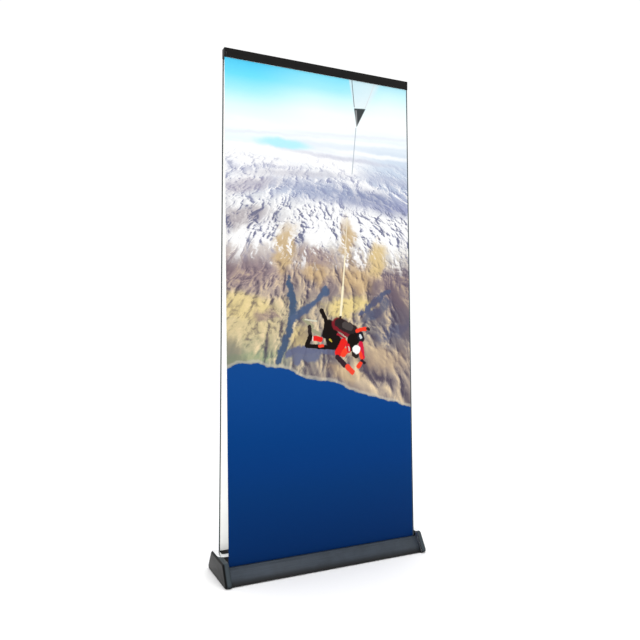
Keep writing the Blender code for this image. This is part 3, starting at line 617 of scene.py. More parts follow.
picture = ink.mix((scrub - 0.5).size() * land * 0.8, picture, "#6f6660")
print("relief over", "the ground's own coordinates")

# %% [markdown]
# ### The lake
#
# The shore is a curve of v over u, so a Float Curve node holds it: a few points joined
# smoothly, as a draughtsman's spline is. The water is a ramp that darkens towards the viewer,
# with a faint ripple, and a thin pale beach follows the shore.

# %% Shore and water
SHORE = [
    (0.00, 0.615), (0.06, 0.607), (0.14, 0.607), (0.21, 0.616), (0.31, 0.622), (0.37, 0.637),
    (0.45, 0.645), (0.55, 0.651), (0.65, 0.672), (0.76, 0.686), (0.87, 0.699), (1.00, 0.716),
]
shore = ink.node("ShaderNodeFloatCurve", {"curve": SHORE}, {1: u})
shore = shore + (ink.noise(flat, 24, 5, 0.6) - 0.5) * 0.012
from_shore = v - shore
beach = from_shore.band(-0.009, -0.004)
picture = ink.mix(beach * 0.45, picture, "#c9c2b4")
picture = ink.mix(from_shore.band(-0.004, 0.001) * 0.8, picture, "#6a7a86")
WATER = [
    (0.60, "#0e458a"), (0.66, "#084287"), (0.71, "#043e82"), (0.76, "#003a7c"),
    (0.82, "#003676"), (0.87, "#00336e"), (0.92, "#002f68"), (1.00, "#00295e"),
]
ripple = ink.noise(ink.stretch(flat, (1, 3.5, 1)), 26, 6, 0.65)
water = ink.ramp(v + (ripple - 0.5) * 0.035, WATER)
picture = ink.mix(from_shore.band(-0.0008, 0.0012), picture, water)
print("shore points:", len(SHORE))

# %% [markdown]
# ### The drogue and its line
#
# Above the divers trails a drogue: a pale see-through canopy that leaves the picture's top
# edge, a dark cone under it, and a cream line down to the pack. The canopy's two sides are
# straight lines in u over v, so its mask is the product of two half planes.

# %% Drogue, canopy and line
canopy = (u - (0.678 - (0.06 - v) * 0.45)).band(-0.004, 0.004)
canopy = canopy * (0.742 + (0.06 - v) * 1.30 - u).band(-0.03, 0.01)
canopy = canopy * (1 - (v + (u - 0.71) * 0.04).band(0.058, 0.061))
picture = ink.mix(canopy * 0.6, picture, "#e1e7e9")
cone = (u - (0.678 + (v - 0.06) * 0.34)).band(-0.003, 0.003)
cone = cone * (0.744 - (v - 0.06) * 1.25 - u).band(-0.003, 0.003)
cone = cone * (v + (u - 0.71) * 0.04).band(0.0585, 0.0610) * (1 - v.band(0.1015, 0.1045))
picture = ink.mix(cone * 0.97, picture, "#2b2f31")
CREAM = "#f4eac8"
LINES = [
    # colour, start, end, half width, softness
    ("#8b8f90", (0.690, 0.066), (0.693, 0.095), 0.0040, 0.5),
    ("#70777b", (0.668, 0.000), (0.680, 0.058), 0.0022, 0.5),
    ("#d3dade", (0.742, 0.058), (0.800, 0.000), 0.0018, 0.6),
    ("#a9b3bc", (0.688, 0.104), (0.662, 0.205), 0.0022, 0.6),
    ("#e6ddc4", (0.616, 0.385), (0.632, 0.300), 0.0020, 0.6),
    (CREAM, (0.602, 0.450), (0.616, 0.385), 0.0036, 0.5),
    (CREAM, (0.587, 0.512), (0.602, 0.450), 0.0062, 0.4),
]
for settings in LINES:
    picture = stroke(picture, *settings)
print("drogue drawn with", len(LINES), "lines")

# %% [markdown]
# ### The two divers
#
# Two people share one harness. They are drawn small, from behind and above: black suits, a dark
# pack, red sleeves and gloves, and two closed helmets, so there is no face to draw. Each limb
# is one stroke, in the order in which they lie over each other.

# %% Suits, pack, sleeves and helmets
BLACK, SOOT, RED, SCARLET = "#17110f", "#2d2626", "#e3231f", "#f2422a"
KHAKI, MAROON, PEARL = "#9b987c", "#7c1d27", "#fbfbf9"
SLIM, CRISP = 0.88, 0.14  # share of each half width that is drawn, and how soft its rim is
DIVERS = [
    # colour, start, end, half width
    (KHAKI, (0.388, 0.520), (0.432, 0.534), 0.010),
    ("#cfcfba", (0.392, 0.5195), (0.455, 0.5225), 0.004),
    (KHAKI, (0.425, 0.540), (0.470, 0.550), 0.010),
    (SOOT, (0.416, 0.535), (0.420, 0.560), 0.012),
    (BLACK, (0.420, 0.555), (0.402, 0.572), 0.014),
    (BLACK, (0.400, 0.574), (0.545, 0.579), 0.012),
    (BLACK, (0.483, 0.501), (0.500, 0.515), 0.013),
    (BLACK, (0.500, 0.515), (0.512, 0.530), 0.012),
    (BLACK, (0.512, 0.532), (0.500, 0.552), 0.020),
    (BLACK, (0.524, 0.532), (0.534, 0.566), 0.034),
    (RED, (0.446, 0.559), (0.474, 0.561), 0.015),
    ("#e9d9cc", (0.433, 0.556), (0.433, 0.563), 0.004),
    (SCARLET, (0.470, 0.575), (0.488, 0.574), 0.008),
    (BLACK, (0.545, 0.550), (0.575, 0.576), 0.032),
    ("#b9a53e", (0.525, 0.562), (0.535, 0.565), 0.005),
    (SOOT, (0.587, 0.514), (0.587, 0.522), 0.008),
    (MAROON, (0.570, 0.529), (0.652, 0.545), 0.037),
    ("#2b2324", (0.580, 0.528), (0.650, 0.541), 0.031),
    ("#4a4342", (0.612, 0.531), (0.640, 0.536), 0.020),
    (MAROON, (0.562, 0.536), (0.622, 0.556), 0.005),
    ("#9c2230", (0.570, 0.550), (0.610, 0.560), 0.006),
    (BLACK, (0.648, 0.560), (0.640, 0.578), 0.026),
    (BLACK, (0.675, 0.556), (0.668, 0.566), 0.024),
    (RED, (0.603, 0.568), (0.572, 0.590), 0.022),
    (SCARLET, (0.600, 0.593), (0.612, 0.587), 0.018),
    ("#d21f2c", (0.625, 0.575), (0.632, 0.586), 0.012),
    ("#c9bdb6", (0.629, 0.578), (0.634, 0.586), 0.004),
    (SCARLET, (0.680, 0.5435), (0.728, 0.5395), 0.012),
    (SOOT, (0.738, 0.539), (0.748, 0.541), 0.008),
    ("#1c1d24", (0.698, 0.5535), (0.702, 0.561), 0.021),
    ("#cfd6da", (0.697, 0.5545), (0.701, 0.5575), 0.008),
    ("#d01f3e", (0.700, 0.572), (0.709, 0.600), 0.015),
    (SCARLET, (0.695, 0.590), (0.703, 0.602), 0.010),
    ("#2a1f28", (0.704, 0.608), (0.718, 0.613), 0.010),
    (SCARLET, (0.684, 0.620), (0.695, 0.615), 0.013),
    ("#33222a", (0.568, 0.599), (0.608, 0.617), 0.015),
    ("#ec4631", (0.622, 0.620), (0.650, 0.632), 0.015),
    ("#2a2220", (0.662, 0.593), (0.672, 0.597), 0.018),
    (PEARL, (0.672, 0.5835), (0.676, 0.5845), 0.023),
]
for colour, start, end, radius in DIVERS:
    picture = stroke(picture, colour, start, end, radius * SLIM, CRISP, creased)
print("divers:", len(DIVERS), "strokes")

# %% [markdown]
# ### The film round the ink
#
# The sheet is cut on a table. A dark border runs down its last few millimetres on both faces:
# partly the grey core that shows at the cut, and partly painted shade along the edge.
# The laminate over the ink is a satin film: an even low gloss with a faint orange peel.
# The plain side has its own finish with the same dark line.

# %% Edge line and laminate
INK_THROUGH_LAMINATE = 0.86  # share of the light that comes back through the clear layer
# The dark border down the edge: grey core, and painted shade.
picture = ink.mix(u.band(1 - RIM * 1.25, 1 - RIM * 0.9), picture, "#465054")
ink.drive("Base Color", ink.scaled(picture, INK_THROUGH_LAMINATE))
peel = ink.noise(flat, 230, 3, 0.5)
ink.drive("Roughness", 0.40 + peel * 0.10 - from_shore.band(0.0, 0.01) * 0.04)
ink.bump(peel, 0.00005, 0.35)
paints["printed_film"] = ink.material

edge_paint = Finish("film_edge", Specular_IOR_Level=0.3)
edge_grain = edge_paint.noise(edge_paint.place(), 900, 3, 0.6)
edge_paint.drive("Base Color", edge_paint.mix(edge_grain, "#2e3537", "#454e52"))
edge_paint.drive("Roughness", 0.55 + edge_grain * 0.1)
edge_paint.bump(edge_grain, 0.00004, 0.4)
paints["film_edge"] = edge_paint.material
print("print:", len(ink.tree.nodes), "nodes")

# %% [markdown]
# ## Making a piece
#
# Every piece ends in one function, dress. It shades smooth with sharp edges kept, gives the
# piece its paint, which is the finish of its slot unless another is given, puts it on the body
# of the frame that it rides on, and hides the nodes it stands for. Pieces built from a bmesh
# first have their doubled corners merged and their faces pointed outwards.


# %% Pieces from bmesh
SAME_PLACE = 1e-6  # corners this close are one corner
link = bpy.context.scene.collection.objects.link


def middle_of(node):
    """A node's lowest and highest corners at rest, and the point midway."""
    low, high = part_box(node)
    return low, high, (low + high) / 2


def plain_mesh(name, bm):
    mesh = bpy.data.meshes.new(name)
    bm.to_mesh(mesh)
    bm.free()
    return mesh


def finish_piece(name, bm, body, slot, nodes=(), smooth=35, paint=None):
    """Turns a bmesh into a finished piece of the stand."""
    bmesh.ops.remove_doubles(bm, verts=bm.verts, dist=SAME_PLACE)
    bmesh.ops.recalc_face_normals(bm, faces=bm.faces)
    piece = bpy.data.objects.new(name, plain_mesh(name, bm))
    return dress(piece, body, slot, nodes, smooth, paint)


def dress(piece, body, slot, nodes=(), smooth=35, paint=None):
    """Shades, paints and hands over an object whose mesh is ready."""
    link(piece)
    mesh = piece.data
    mesh.shade_smooth()
    mesh.set_sharp_from_angle(angle=math.radians(smooth))
    if not mesh.materials or mesh.materials[0] is None:
        mesh.materials.clear()
        mesh.materials.append(paint or paints[slot])
    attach(piece, body)
    if nodes:
        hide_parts(*nodes)
    print(f"  {piece.name}: {len(mesh.vertices)} corners on {body}")
    return piece


print("piece helpers ready")

# %% [markdown]
# ## The two printed sheets
#
# Polyester film, 0.4 mm thick, stretched from a slot in the base to the rail. Film that comes
# off a roller keeps a little curl: the side edges lean back by a millimetre or two where
# nothing holds them, and the middle stands straight. A grid of points on the slanted plane,
# pushed back by that rule, gives the printed face; a second grid one thickness behind it
# and a rim close the sheet. As the rail comes down, the sheet winds into the base. Here it is
# built at full height and rides on the base.

# %% Sheets of film
SHEET_COLUMNS, SHEET_ROWS = 48, 96
CURL = 0.0022  # how far the free edges lean back
CURL_REACH = 0.055  # how wide the curled border is
GRAPHIC_WIDTH, FILM_THICKNESS = 0.850, 0.4 * MM
INK, PLAIN, TRIMMED = 0, 1, 2  # the sheet's material slots


def curl_at(x, share, half):
    """Backward lean: strongest at mid height, none where the rail and the slot hold the film."""
    border = max(0.0, 1 - (half - abs(x)) / CURL_REACH)
    held = math.sin(math.pi * share) ** 0.6
    return CURL * border**2 * held


def make_sheet(side, sign):
    low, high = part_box(f"{side}_graphic")
    half = (high.x - low.x) / 2
    bottom_out, top_in = max(abs(low.y), abs(high.y)), min(abs(low.y), abs(high.y))
    columns = [c / (SHEET_COLUMNS - 1) * (1 - RIM) for c in range(SHEET_COLUMNS)] + [1.0]
    bm = bmesh.new()
    layer = bm.loops.layers.uv.new("print")
    grids = []
    for inset in (0, FILM_THICKNESS):
        rows = []
        for r in range(SHEET_ROWS + 1):
            share = r / SHEET_ROWS
            z = low.z + (high.z - low.z) * share
            y = bottom_out + (top_in + FILM_THICKNESS - bottom_out) * share - inset
            row = []
            for c in range(SHEET_COLUMNS + 1):
                x = -half + 2 * half * columns[c]
                row.append(bm.verts.new((-sign * x, sign * (y - curl_at(x, share, half)), z)))
            rows.append(row)
        grids.append(rows)
    coordinates = {}
    for rows in grids:
        for r, row in enumerate(rows):
            for c, vert in enumerate(row):
                coordinates[vert] = (columns[c], r / SHEET_ROWS)
    outer, inner = grids

    def face(*verts, paint):
        made = bm.faces.new(verts)
        made.material_index = paint
        for loop in made.loops:
            loop[layer].uv = coordinates[loop.vert]

    for r in range(SHEET_ROWS):
        for c in range(SHEET_COLUMNS):
            face(outer[r][c], outer[r][c + 1], outer[r + 1][c + 1], outer[r + 1][c], paint=INK)
            # The back of the last column takes the dark edge finish: grey core and painted shade.
            back = TRIMMED if c == SHEET_COLUMNS - 1 else PLAIN
            face(inner[r][c], inner[r + 1][c], inner[r + 1][c + 1], inner[r][c + 1], paint=back)
    for r in range(SHEET_ROWS):
        face(outer[r][0], outer[r + 1][0], inner[r + 1][0], inner[r][0], paint=TRIMMED)
        face(outer[r][-1], inner[r][-1], inner[r + 1][-1], outer[r + 1][-1], paint=TRIMMED)
    for c in range(SHEET_COLUMNS):
        face(outer[0][c], inner[0][c], inner[0][c + 1], outer[0][c + 1], paint=TRIMMED)
        face(outer[-1][c], outer[-1][c + 1], inner[-1][c + 1], inner[-1][c], paint=TRIMMED)
    bmesh.ops.recalc_face_normals(bm, faces=bm.faces)
    mesh = plain_mesh(f"{side}_sheet", bm)
    for paint in ("printed_film", "white_film", "film_edge"):
        mesh.materials.append(paints[paint])
    sheet = bpy.data.objects.new(f"{side}_sheet", mesh)
    dress(sheet, "base", "printed_film", [f"{side}_graphic"])
    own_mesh(sheet)


make_sheet("front", -1)
make_sheet("rear", 1)

# %% [markdown]
# ## Rounded edges on extrusions and mouldings
#
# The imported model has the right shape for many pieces, but its edges are sharp. On the real
# stand every edge is broken a little, and that is where the light catches. So a copy of such a
# piece is merged, its flat triangles are joined into whole faces, and a Bevel rounds its
# edges. The copy then stands for the node, and the node itself is not touched.


# %% Softened copies
FLAT_ANGLE, EDGE_ANGLE = math.radians(0.3), math.radians(30)


def softened(node, radius, slot, segments=2):
    """A copy of a node with its edges rounded, which stands for the node."""
    bm = bmesh.new()
    bm.from_mesh(frame["nodes"][node].data)
    bmesh.ops.remove_doubles(bm, verts=bm.verts, dist=SAME_PLACE)
    bmesh.ops.dissolve_limit(bm, angle_limit=FLAT_ANGLE, verts=bm.verts, edges=bm.edges)
    rough_piece = bpy.data.objects.new(f"{node}_shape", plain_mesh(node, bm))
    link(rough_piece)
    bevel = rough_piece.modifiers.new("edges", "BEVEL")
    bevel.width, bevel.segments, bevel.limit_method = radius, segments, "ANGLE"
    bevel.angle_limit = EDGE_ANGLE
    bevel.use_clamp_overlap = True
    graph = bpy.context.evaluated_depsgraph_get()
    final = bpy.data.meshes.new_from_object(rough_piece.evaluated_get(graph))
    bpy.data.objects.remove(rough_piece)
    final.name = f"{node}_finished"
    piece = bpy.data.objects.new(final.name, final)
    return dress(piece, frame["nodes"][node]["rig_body"], slot, [node], 50)


print("softening ready")

# %% [markdown]
# ## Covers, decks and trim
#
# The base is a set of extrusions cut to one length: two slate covers, two black grooved decks, a
# bright strip down the middle, and a bright bezel round one end of each slot. All are drawn
# aluminium or plastic sections, so the copies only need their broken edges.

# %% Extrusions of the base
for side in ("front", "rear"):
    softened(f"{side}_cover", 0.5 * MM, "slate_aluminium", 3)
    softened(f"{side}_deck", 0.15 * MM, "black_plastic", 1)
    softened(f"slot_trim_{side}", 0.35 * MM, "silver_trim", 3)
    softened(f"{side}_slot_felt", 0.3 * MM, "felt", 2)
softened("centre_spine", 0.35 * MM, "silver_trim", 2)
softened("base_chassis", 0.25 * MM, "raw_aluminium", 1)

# %% [markdown]
# ## End caps
#
# Each cap is one glossy-edged plastic moulding that closes the base: the cross-section of
# the base, drawn in and rounded over towards the outer end. It is lofted: the outline is
# repeated at stations along X, each a little smaller than the last, as the quarter turn
# of the dome asks. The wall is the same outline moved inwards.

# %% Outlines with round corners
ARC = 10  # steps in a rounded corner


def rounded(corners):
    """A closed outline through (a, b, radius) corners, with an arc at each."""
    points = []
    for i, (a, b, radius) in enumerate(corners):
        here = Vector((a, b))
        before = (Vector(corners[i - 1][:2]) - here).normalized()
        after = (Vector(corners[(i + 1) % len(corners)][:2]) - here).normalized()
        half = before.angle(after) / 2
        centre = here + (before + after).normalized() * radius / math.sin(half)
        start = here + before * radius / math.tan(half) - centre
        turn = (here + after * radius / math.tan(half) - centre).angle_signed(start)
        points += [centre + Matrix.Rotation(turn * k / ARC, 2) @ start for k in range(ARC + 1)]
    return points


def moved_in(corners, distance):
    """Each straight side moved inwards, and each corner's radius made smaller with it."""
    places = [Vector(c[:2]) for c in corners]
    result = []
    for i, here in enumerate(places):
        back = (here - places[i - 1]).normalized()
        ahead = (places[(i + 1) % len(places)] - here).normalized()
        mitre = Vector((-back.y - ahead.y, back.x + ahead.x)).normalized()
        reach = distance / mitre.dot(Vector((-back.y, back.x)))
        place = here + mitre * reach
        result.append((place.x, place.y, max(corners[i][2] - distance, 0.6 * MM)))
    return result


def loft(bm, sections):
    """Skins a list of equal outlines, and closes the two ends."""
    loops = [[bm.verts.new(p) for p in section] for section in sections]
    for low, high in zip(loops, loops[1:]):
        for i in range(len(low)):
            j = (i + 1) % len(low)
            bm.faces.new((low[i], low[j], high[j], high[i]))
    bm.faces.new(loops[0])
    bm.faces.new(loops[-1])


print("outline helpers ready, with", ARC, "steps a corner")

# %% [markdown]
# The cap's stations run from the closed floor of its hollow out to the rim, round the rim, and
# back over the dome to the outer face, so that one loft makes both sides of the wall.

# %% End caps
CAP_WALL, DOME, DOME_TOP, SHOULDER = 2.5 * MM, 12 * MM, 9 * MM, 84 * MM
DOME_STEPS = 16


def make_end_cap(end, sign):
    low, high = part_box(f"end_cap_{end}")
    belly, floor, top = high.y, low.z, high.z
    outer = high.x if sign > 0 else -low.x
    inner = low.x if sign > 0 else -high.x
    rear = [(belly - 4 * MM, floor, 3 * MM), (belly, 12.5 * MM, 8 * MM), (SHOULDER, top, 14 * MM)]
    corners = rear + [(-y, z, r) for y, z, r in reversed(rear)]
    shell, hollow = rounded(corners), rounded(moved_in(corners, CAP_WALL))
    deep = rounded(moved_in(corners, CAP_WALL + DOME * 0.6))
    lip = rounded(moved_in(corners, 0.5 * MM))
    sections = [(outer - CAP_WALL, deep), (outer - DOME, hollow), (inner, hollow)]
    sections += [(inner, lip), (inner + 0.5 * MM, shell)]
    for step in range(DOME_STEPS + 1):
        turn = math.pi / 2 * step / DOME_STEPS
        share = 1 - math.cos(turn)
        narrow, lower = 1 - DOME / belly * share, 1 - DOME_TOP / (top - floor) * share
        ring = [(p.x * narrow, floor + (p.y - floor) * lower) for p in shell]
        sections.append((outer - DOME * (1 - math.sin(turn)), ring))
    bm = bmesh.new()
    loft(bm, [[Vector((sign * x, p[0], p[1])) for p in ring] for x, ring in sections])
    name = f"end_cap_{end}"
    finish_piece(f"{name}_moulding", bm, "base", "charcoal_plastic", [name], 50)


make_end_cap("left", -1)
make_end_cap("right", 1)

# %% [markdown]
# ## Geometry Nodes for what repeats
#
# Screws, springs and grips repeat one small shape by a rule. A Geometry Nodes tree states the
# rule once, with its sizes as named inputs. A small class builds such a tree, sets the inputs
# by their identifiers, and keeps the result as a plain mesh. Each tree ends by realising
# its instances and setting the paint.


# %% Recipes
class Recipe:
    """A Geometry Nodes tree that is built here and run once for each piece."""

    def __init__(self, name, **inputs):
        self.tree = bpy.data.node_groups.new(name, "GeometryNodeTree")
        new_socket = self.tree.interface.new_socket
        new_socket("Geometry", in_out="OUTPUT", socket_type="NodeSocketGeometry")
        self.inputs = {}
        for label, kind in {**inputs, "Paint": "NodeSocketMaterial"}.items():
            socket = new_socket(label, in_out="INPUT", socket_type=kind)
            self.inputs[label] = socket.identifier
        self.entry = self.tree.nodes.new("NodeGroupInput")

    def size(self, label):
        return self.entry.outputs[label]

    def node(self, kind, settings=(), sockets=()):
        """Adds a node; a list of sockets as a value is joined into one input."""
        made = self.tree.nodes.new(kind)
        for name, value in dict(settings).items():
            setattr(made, name, value)
        for name, value in dict(sockets).items():
            for one in value if isinstance(value, list) else [value]:
                if isinstance(one, bpy.types.NodeSocket):
                    self.tree.links.new(one, made.inputs[name])
                else:
                    made.inputs[name].default_value = one
        return made.outputs[0]

    def maths(self, operation, *terms):
        return self.node("ShaderNodeMath", {"operation": operation}, dict(enumerate(terms)))

    def share(self, label, part):
        """A part of one of the sizes."""
        return self.maths("MULTIPLY", self.size(label), part)

    def moved(self, geometry, x=0.0, z=0.0, turn=0.0):
        """The geometry moved along x and z, and turned about the z axis."""
        step = self.node("ShaderNodeCombineXYZ", (), {0: x, 2: z})
        sockets = {0: geometry, "Translation": step, "Rotation": (0, 0, turn)}
        return self.node("GeometryNodeTransform", (), sockets)

    def ends_with(self, geometry):
        whole = self.node("GeometryNodeRealizeInstances", (), {0: geometry})
        sockets = {"Geometry": whole, "Material": self.size("Paint")}
        painted = self.node("GeometryNodeSetMaterial", (), sockets)
        self.tree.links.new(painted, self.tree.nodes.new("NodeGroupOutput").inputs[0])

    def run(self, name, paint, place=Matrix.Identity(4), **values):
        """Evaluates the tree, and moves the result into its place."""
        holder = bpy.data.objects.new(name, bpy.data.meshes.new(name))
        link(holder)
        modifier = holder.modifiers.new(name, "NODES")
        modifier.node_group = self.tree
        for label, value in {**values, "Paint": paint}.items():
            modifier[self.inputs[label]] = value
        graph = bpy.context.evaluated_depsgraph_get()
        mesh = bpy.data.meshes.new_from_object(holder.evaluated_get(graph))
        bpy.data.objects.remove(holder)
        mesh.name = name
        mesh.transform(place)
        return bpy.data.objects.new(name, mesh)


FLOAT, INT = "NodeSocketFloat", "NodeSocketInt"
print("recipes ready")

# %% [markdown]
# ### Plate screws
#
# Four pan-head screws hold the bearing plates. The head is a wide cylinder under a low cone,
# the shank is a thin cylinder, and the cross recess is cut by two crossed bars in a Mesh Boolean.

# %% Screws
screw = Recipe("plate_screw", Head=FLOAT, Height=FLOAT, Shank=FLOAT, Length=FLOAT)
half_height = screw.share("Height", 0.5)
rim = screw.node(
    "GeometryNodeMeshCylinder", (),
    {"Vertices": 32, "Radius": screw.size("Head"), "Depth": half_height},
)
dome = screw.node(
    "GeometryNodeMeshCone", (),
    {
        "Vertices": 32, "Depth": half_height,
        "Radius Bottom": screw.size("Head"), "Radius Top": screw.share("Head", 0.62),
    },
)
shank = screw.node(
    "GeometryNodeMeshCylinder", (),
    {"Vertices": 24, "Radius": screw.size("Shank"), "Depth": screw.size("Length")},
)
parts = [
    screw.moved(rim, z=screw.share("Height", 0.25)),
    screw.moved(dome, z=half_height),
    screw.moved(shank, z=screw.share("Length", -0.4999)),
]
EXACT = {"solver": "EXACT"}
solid = screw.node("GeometryNodeMeshBoolean", {"operation": "UNION", **EXACT}, {1: parts})
bars = [
    screw.moved(
        screw.node("GeometryNodeMeshCube", (), {"Size": (0.0034, 0.0008, 0.0022)}),
        z=screw.size("Height"), turn=turn,
    )
    for turn in (0, math.pi / 2)
]
recess = {0: solid, 1: bars}
cut = screw.node("GeometryNodeMeshBoolean", {"operation": "DIFFERENCE", **EXACT}, recess)
screw.ends_with(cut)

SCREW_HEAD, SCREW_SHANK = 2.0 * MM, 1.3 * MM
for end, sign in (("left", -1), ("right", 1)):
    for side in ("front", "rear"):
        node = f"plate_screw_{side}_{end}"
        low, high, middle = middle_of(node)
        under_head = (high.x if sign > 0 else -low.x) - SCREW_HEAD
        place = Matrix.Translation((sign * under_head, middle.y, middle.z))
        place @= Matrix.Rotation(sign * math.pi / 2, 4, "Y")
        piece = screw.run(
            f"{node}_crosshead", paints["zinc_steel"], place,
            Head=(high.y - low.y) / 2, Height=SCREW_HEAD,
            Shank=SCREW_SHANK, Length=high.x - low.x - SCREW_HEAD,
        )
        dress(piece, "base", "zinc_steel", [node])

# %% [markdown]
# ### Torsion springs
#
# A spring is a round wire that follows a spiral: Curve Spiral gives the path, and Curve to Mesh
# sweeps a small circle along it and caps its ends.

# %% Springs
coil = Recipe("torsion_spring", Radius=FLOAT, Wire=FLOAT, Length=FLOAT, Turns=FLOAT)
path = coil.node(
    "GeometryNodeCurveSpiral", (),
    {
        "Resolution": 24, "Rotations": coil.size("Turns"), "Start Radius": coil.size("Radius"),
        "End Radius": coil.size("Radius"), "Height": coil.size("Length"),
    },
)
wire = coil.node(
    "GeometryNodeCurvePrimitiveCircle", (), {"Resolution": 10, "Radius": coil.size("Wire")}
)
sweep = {"Curve": path, "Profile Curve": wire, "Fill Caps": True}
coil.ends_with(coil.node("GeometryNodeCurveToMesh", (), sweep))

WIRE, TURNS = 1.1 * MM, 18.0
for side in ("front", "rear"):
    low, high, middle = middle_of(f"{side}_torsion_spring")
    place = Matrix.Translation((low.x + WIRE, middle.y, middle.z))
    place @= Matrix.Rotation(math.pi / 2, 4, "Y")
    piece = coil.run(
        f"{side}_torsion_coil", paints["spring_steel"], place,
        Radius=(high.y - low.y) / 2 - WIRE, Wire=WIRE,
        Length=high.x - low.x - 2 * WIRE, Turns=TURNS,
    )
    dress(piece, "base", "spring_steel", [f"{side}_torsion_spring"], 60)

# %% [markdown]
# ### Twist-lock collars
#
# Where one pole section slides in the next, a collar is twisted to lock it. Its body is a
# turned sleeve with a rounded shoulder at each end. A lip inside its top closes on the thinner
# section, and upright ribs round it give the hand a grip. Body and lip are profile curves
# swept round a circle, and the ribs are one small bar placed on the points of a circle.

# %% Collars
collar = Recipe("twist_collar", Outer=FLOAT, Bore=FLOAT, Neck=FLOAT, Height=FLOAT, Ribs=INT)
RIB = 0.55 * MM  # half a rib's thickness


def difference(a, b):
    return collar.maths("SUBTRACT", a, b)


def sleeve(bore, wall, height, corner):
    """A rounded wall of the given thickness, swept round the bore."""
    around = collar.node(
        "GeometryNodeCurvePrimitiveCircle", (), {"Resolution": 64, "Radius": bore}
    )
    section = collar.node(
        "GeometryNodeCurvePrimitiveQuadrilateral", (), {"Width": wall, "Height": height}
    )
    rounding = {0: section, "Count": 4, "Radius": corner}
    section = collar.node("GeometryNodeFilletCurve", {"mode": "POLY"}, rounding)
    section = collar.moved(section, x=collar.maths("MULTIPLY", wall, 0.5))
    sweep = {"Curve": around, "Profile Curve": section}
    return collar.node("GeometryNodeCurveToMesh", (), sweep)


rib = collar.node(
    "GeometryNodeMeshCylinder", (),
    {"Vertices": 10, "Radius": RIB, "Depth": collar.share("Height", 0.62)},
)
ring = collar.node(
    "GeometryNodeMeshCircle", (),
    {"Vertices": collar.size("Ribs"), "Radius": difference(collar.size("Outer"), 0.62 * MM)},
)
ribs = collar.node("GeometryNodeInstanceOnPoints", (), {"Points": ring, "Instance": rib})
LIP, LIP_ROOT = 11.8 * MM, 0.6 * MM  # the lip's height, and how far it is rooted in the body
outer, bore, neck = (collar.size(label) for label in ("Outer", "Bore", "Neck"))
reach = difference(bore, neck)
lip = sleeve(neck, collar.maths("ADD", reach, LIP_ROOT), LIP, 0.3 * MM)
lip = collar.moved(lip, z=difference(collar.share("Height", 0.5), 0.5 * LIP + 0.1 * MM))
wall = sleeve(bore, difference(difference(outer, bore), 0.45 * MM), collar.size("Height"), 0.9 * MM)
collar.ends_with(collar.node("GeometryNodeJoinGeometry", (), {0: [wall, lip, ribs]}))
print("collar recipe:", len(collar.tree.nodes), "nodes")

# %% [markdown]
# The recipe runs twice. Each collar sits on one tube, and its lip is closed on the next
# thinner one, so its bore and its neck are read from the two tubes' own boxes.

# %% Both collars
RIBS, RUNNING = 28, 0.2 * MM  # RUNNING is the play between a collar and a tube
for which, outer_tube, inner_tube in (("lower", "lower", "middle"), ("upper", "middle", "upper")):
    node, body = f"pole_lock_{which}", f"lock_{which}"
    tubes = [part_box(f"pole_{tube}_tube") for tube in (outer_tube, inner_tube)]
    bore, neck = [(high.x - low.x) / 2 + RUNNING for low, high in tubes]
    low, high, middle = middle_of(node)
    piece = collar.run(
        f"{node}_grip", paints["black_plastic"], Matrix.Translation(middle),
        Outer=(high.x - low.x) / 2, Bore=bore, Neck=neck, Height=high.z - low.z, Ribs=RIBS,
    )
    dress(piece, body, "black_plastic", [node], 40)

# %% [markdown]
# ## The pole
#
# Three drawn tubes slide in each other. A tube is a wall profile turned about the axis, with its
# mouth rolled over by half a millimetre, so that it doesn't scrape the next one.


# %% Turned pieces
def turned(name, points, centre, body, slot, nodes, axis="Z", steps=64, paint=None):
    """Spins closed (radius, distance) points about an axis through the centre."""
    bm = bmesh.new()
    along = {"X": Vector((1, 0, 0)), "Z": Vector((0, 0, 1))}[axis]
    out = Vector((0, 0, 1)) if axis == "X" else Vector((1, 0, 0))
    centre = Vector(centre)
    verts = [bm.verts.new(centre + out * r + along * d) for r, d in points]
    edges = [bm.edges.new(pair) for pair in zip(verts, verts[1:])]
    if points[0][0] > 0 or points[-1][0] > 0:
        edges.append(bm.edges.new((verts[-1], verts[0])))
    bmesh.ops.spin(
        bm, geom=verts + edges, cent=centre, axis=along, angle=2 * math.pi, steps=steps,
        use_merge=True,
    )
    return finish_piece(name, bm, body, slot, nodes, paint=paint)


def tube_points(outer, inner, low, high, roll):
    """A wall's outline with both mouths rolled over."""
    arc = []
    for step in range(5):
        turn = math.pi / 2 * step / 4
        arc.append((outer - roll * (1 - math.sin(turn)), roll * (1 - math.cos(turn))))
    lower = [(r, low + d) for r, d in arc]
    upper = [(r, high - d) for r, d in arc[::-1]]
    return [(inner, low)] + lower + upper + [(inner, high)]


TUBE_WALL = 1.2 * MM
TUBES = [("lower", "base"), ("middle", "pole_middle"), ("upper", "pole_upper")]
for section_name, body in TUBES:
    node = f"pole_{section_name}_tube"
    low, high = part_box(node)
    outer = (high.x - low.x) / 2
    points = tube_points(outer, outer - TUBE_WALL, low.z, high.z, 0.45 * MM)
    turned(
        f"{node}_drawn", points, (0, 0, 0), body, "raw_aluminium", [node],
        paint=paints["pole_aluminium"],
    )
softened("pole_head", 0.4 * MM, "black_plastic", 2)
softened("pole_foot_plug", 0.4 * MM, "black_plastic", 2)
softened("pole_socket", 0.4 * MM, "black_plastic", 2)

# %% [markdown]
# ## Feet
#
# Four rubber discs stop the base from sliding. Rings turned into the underside grip the floor,
# and the rim is chamfered so that the rubber doesn't peel.

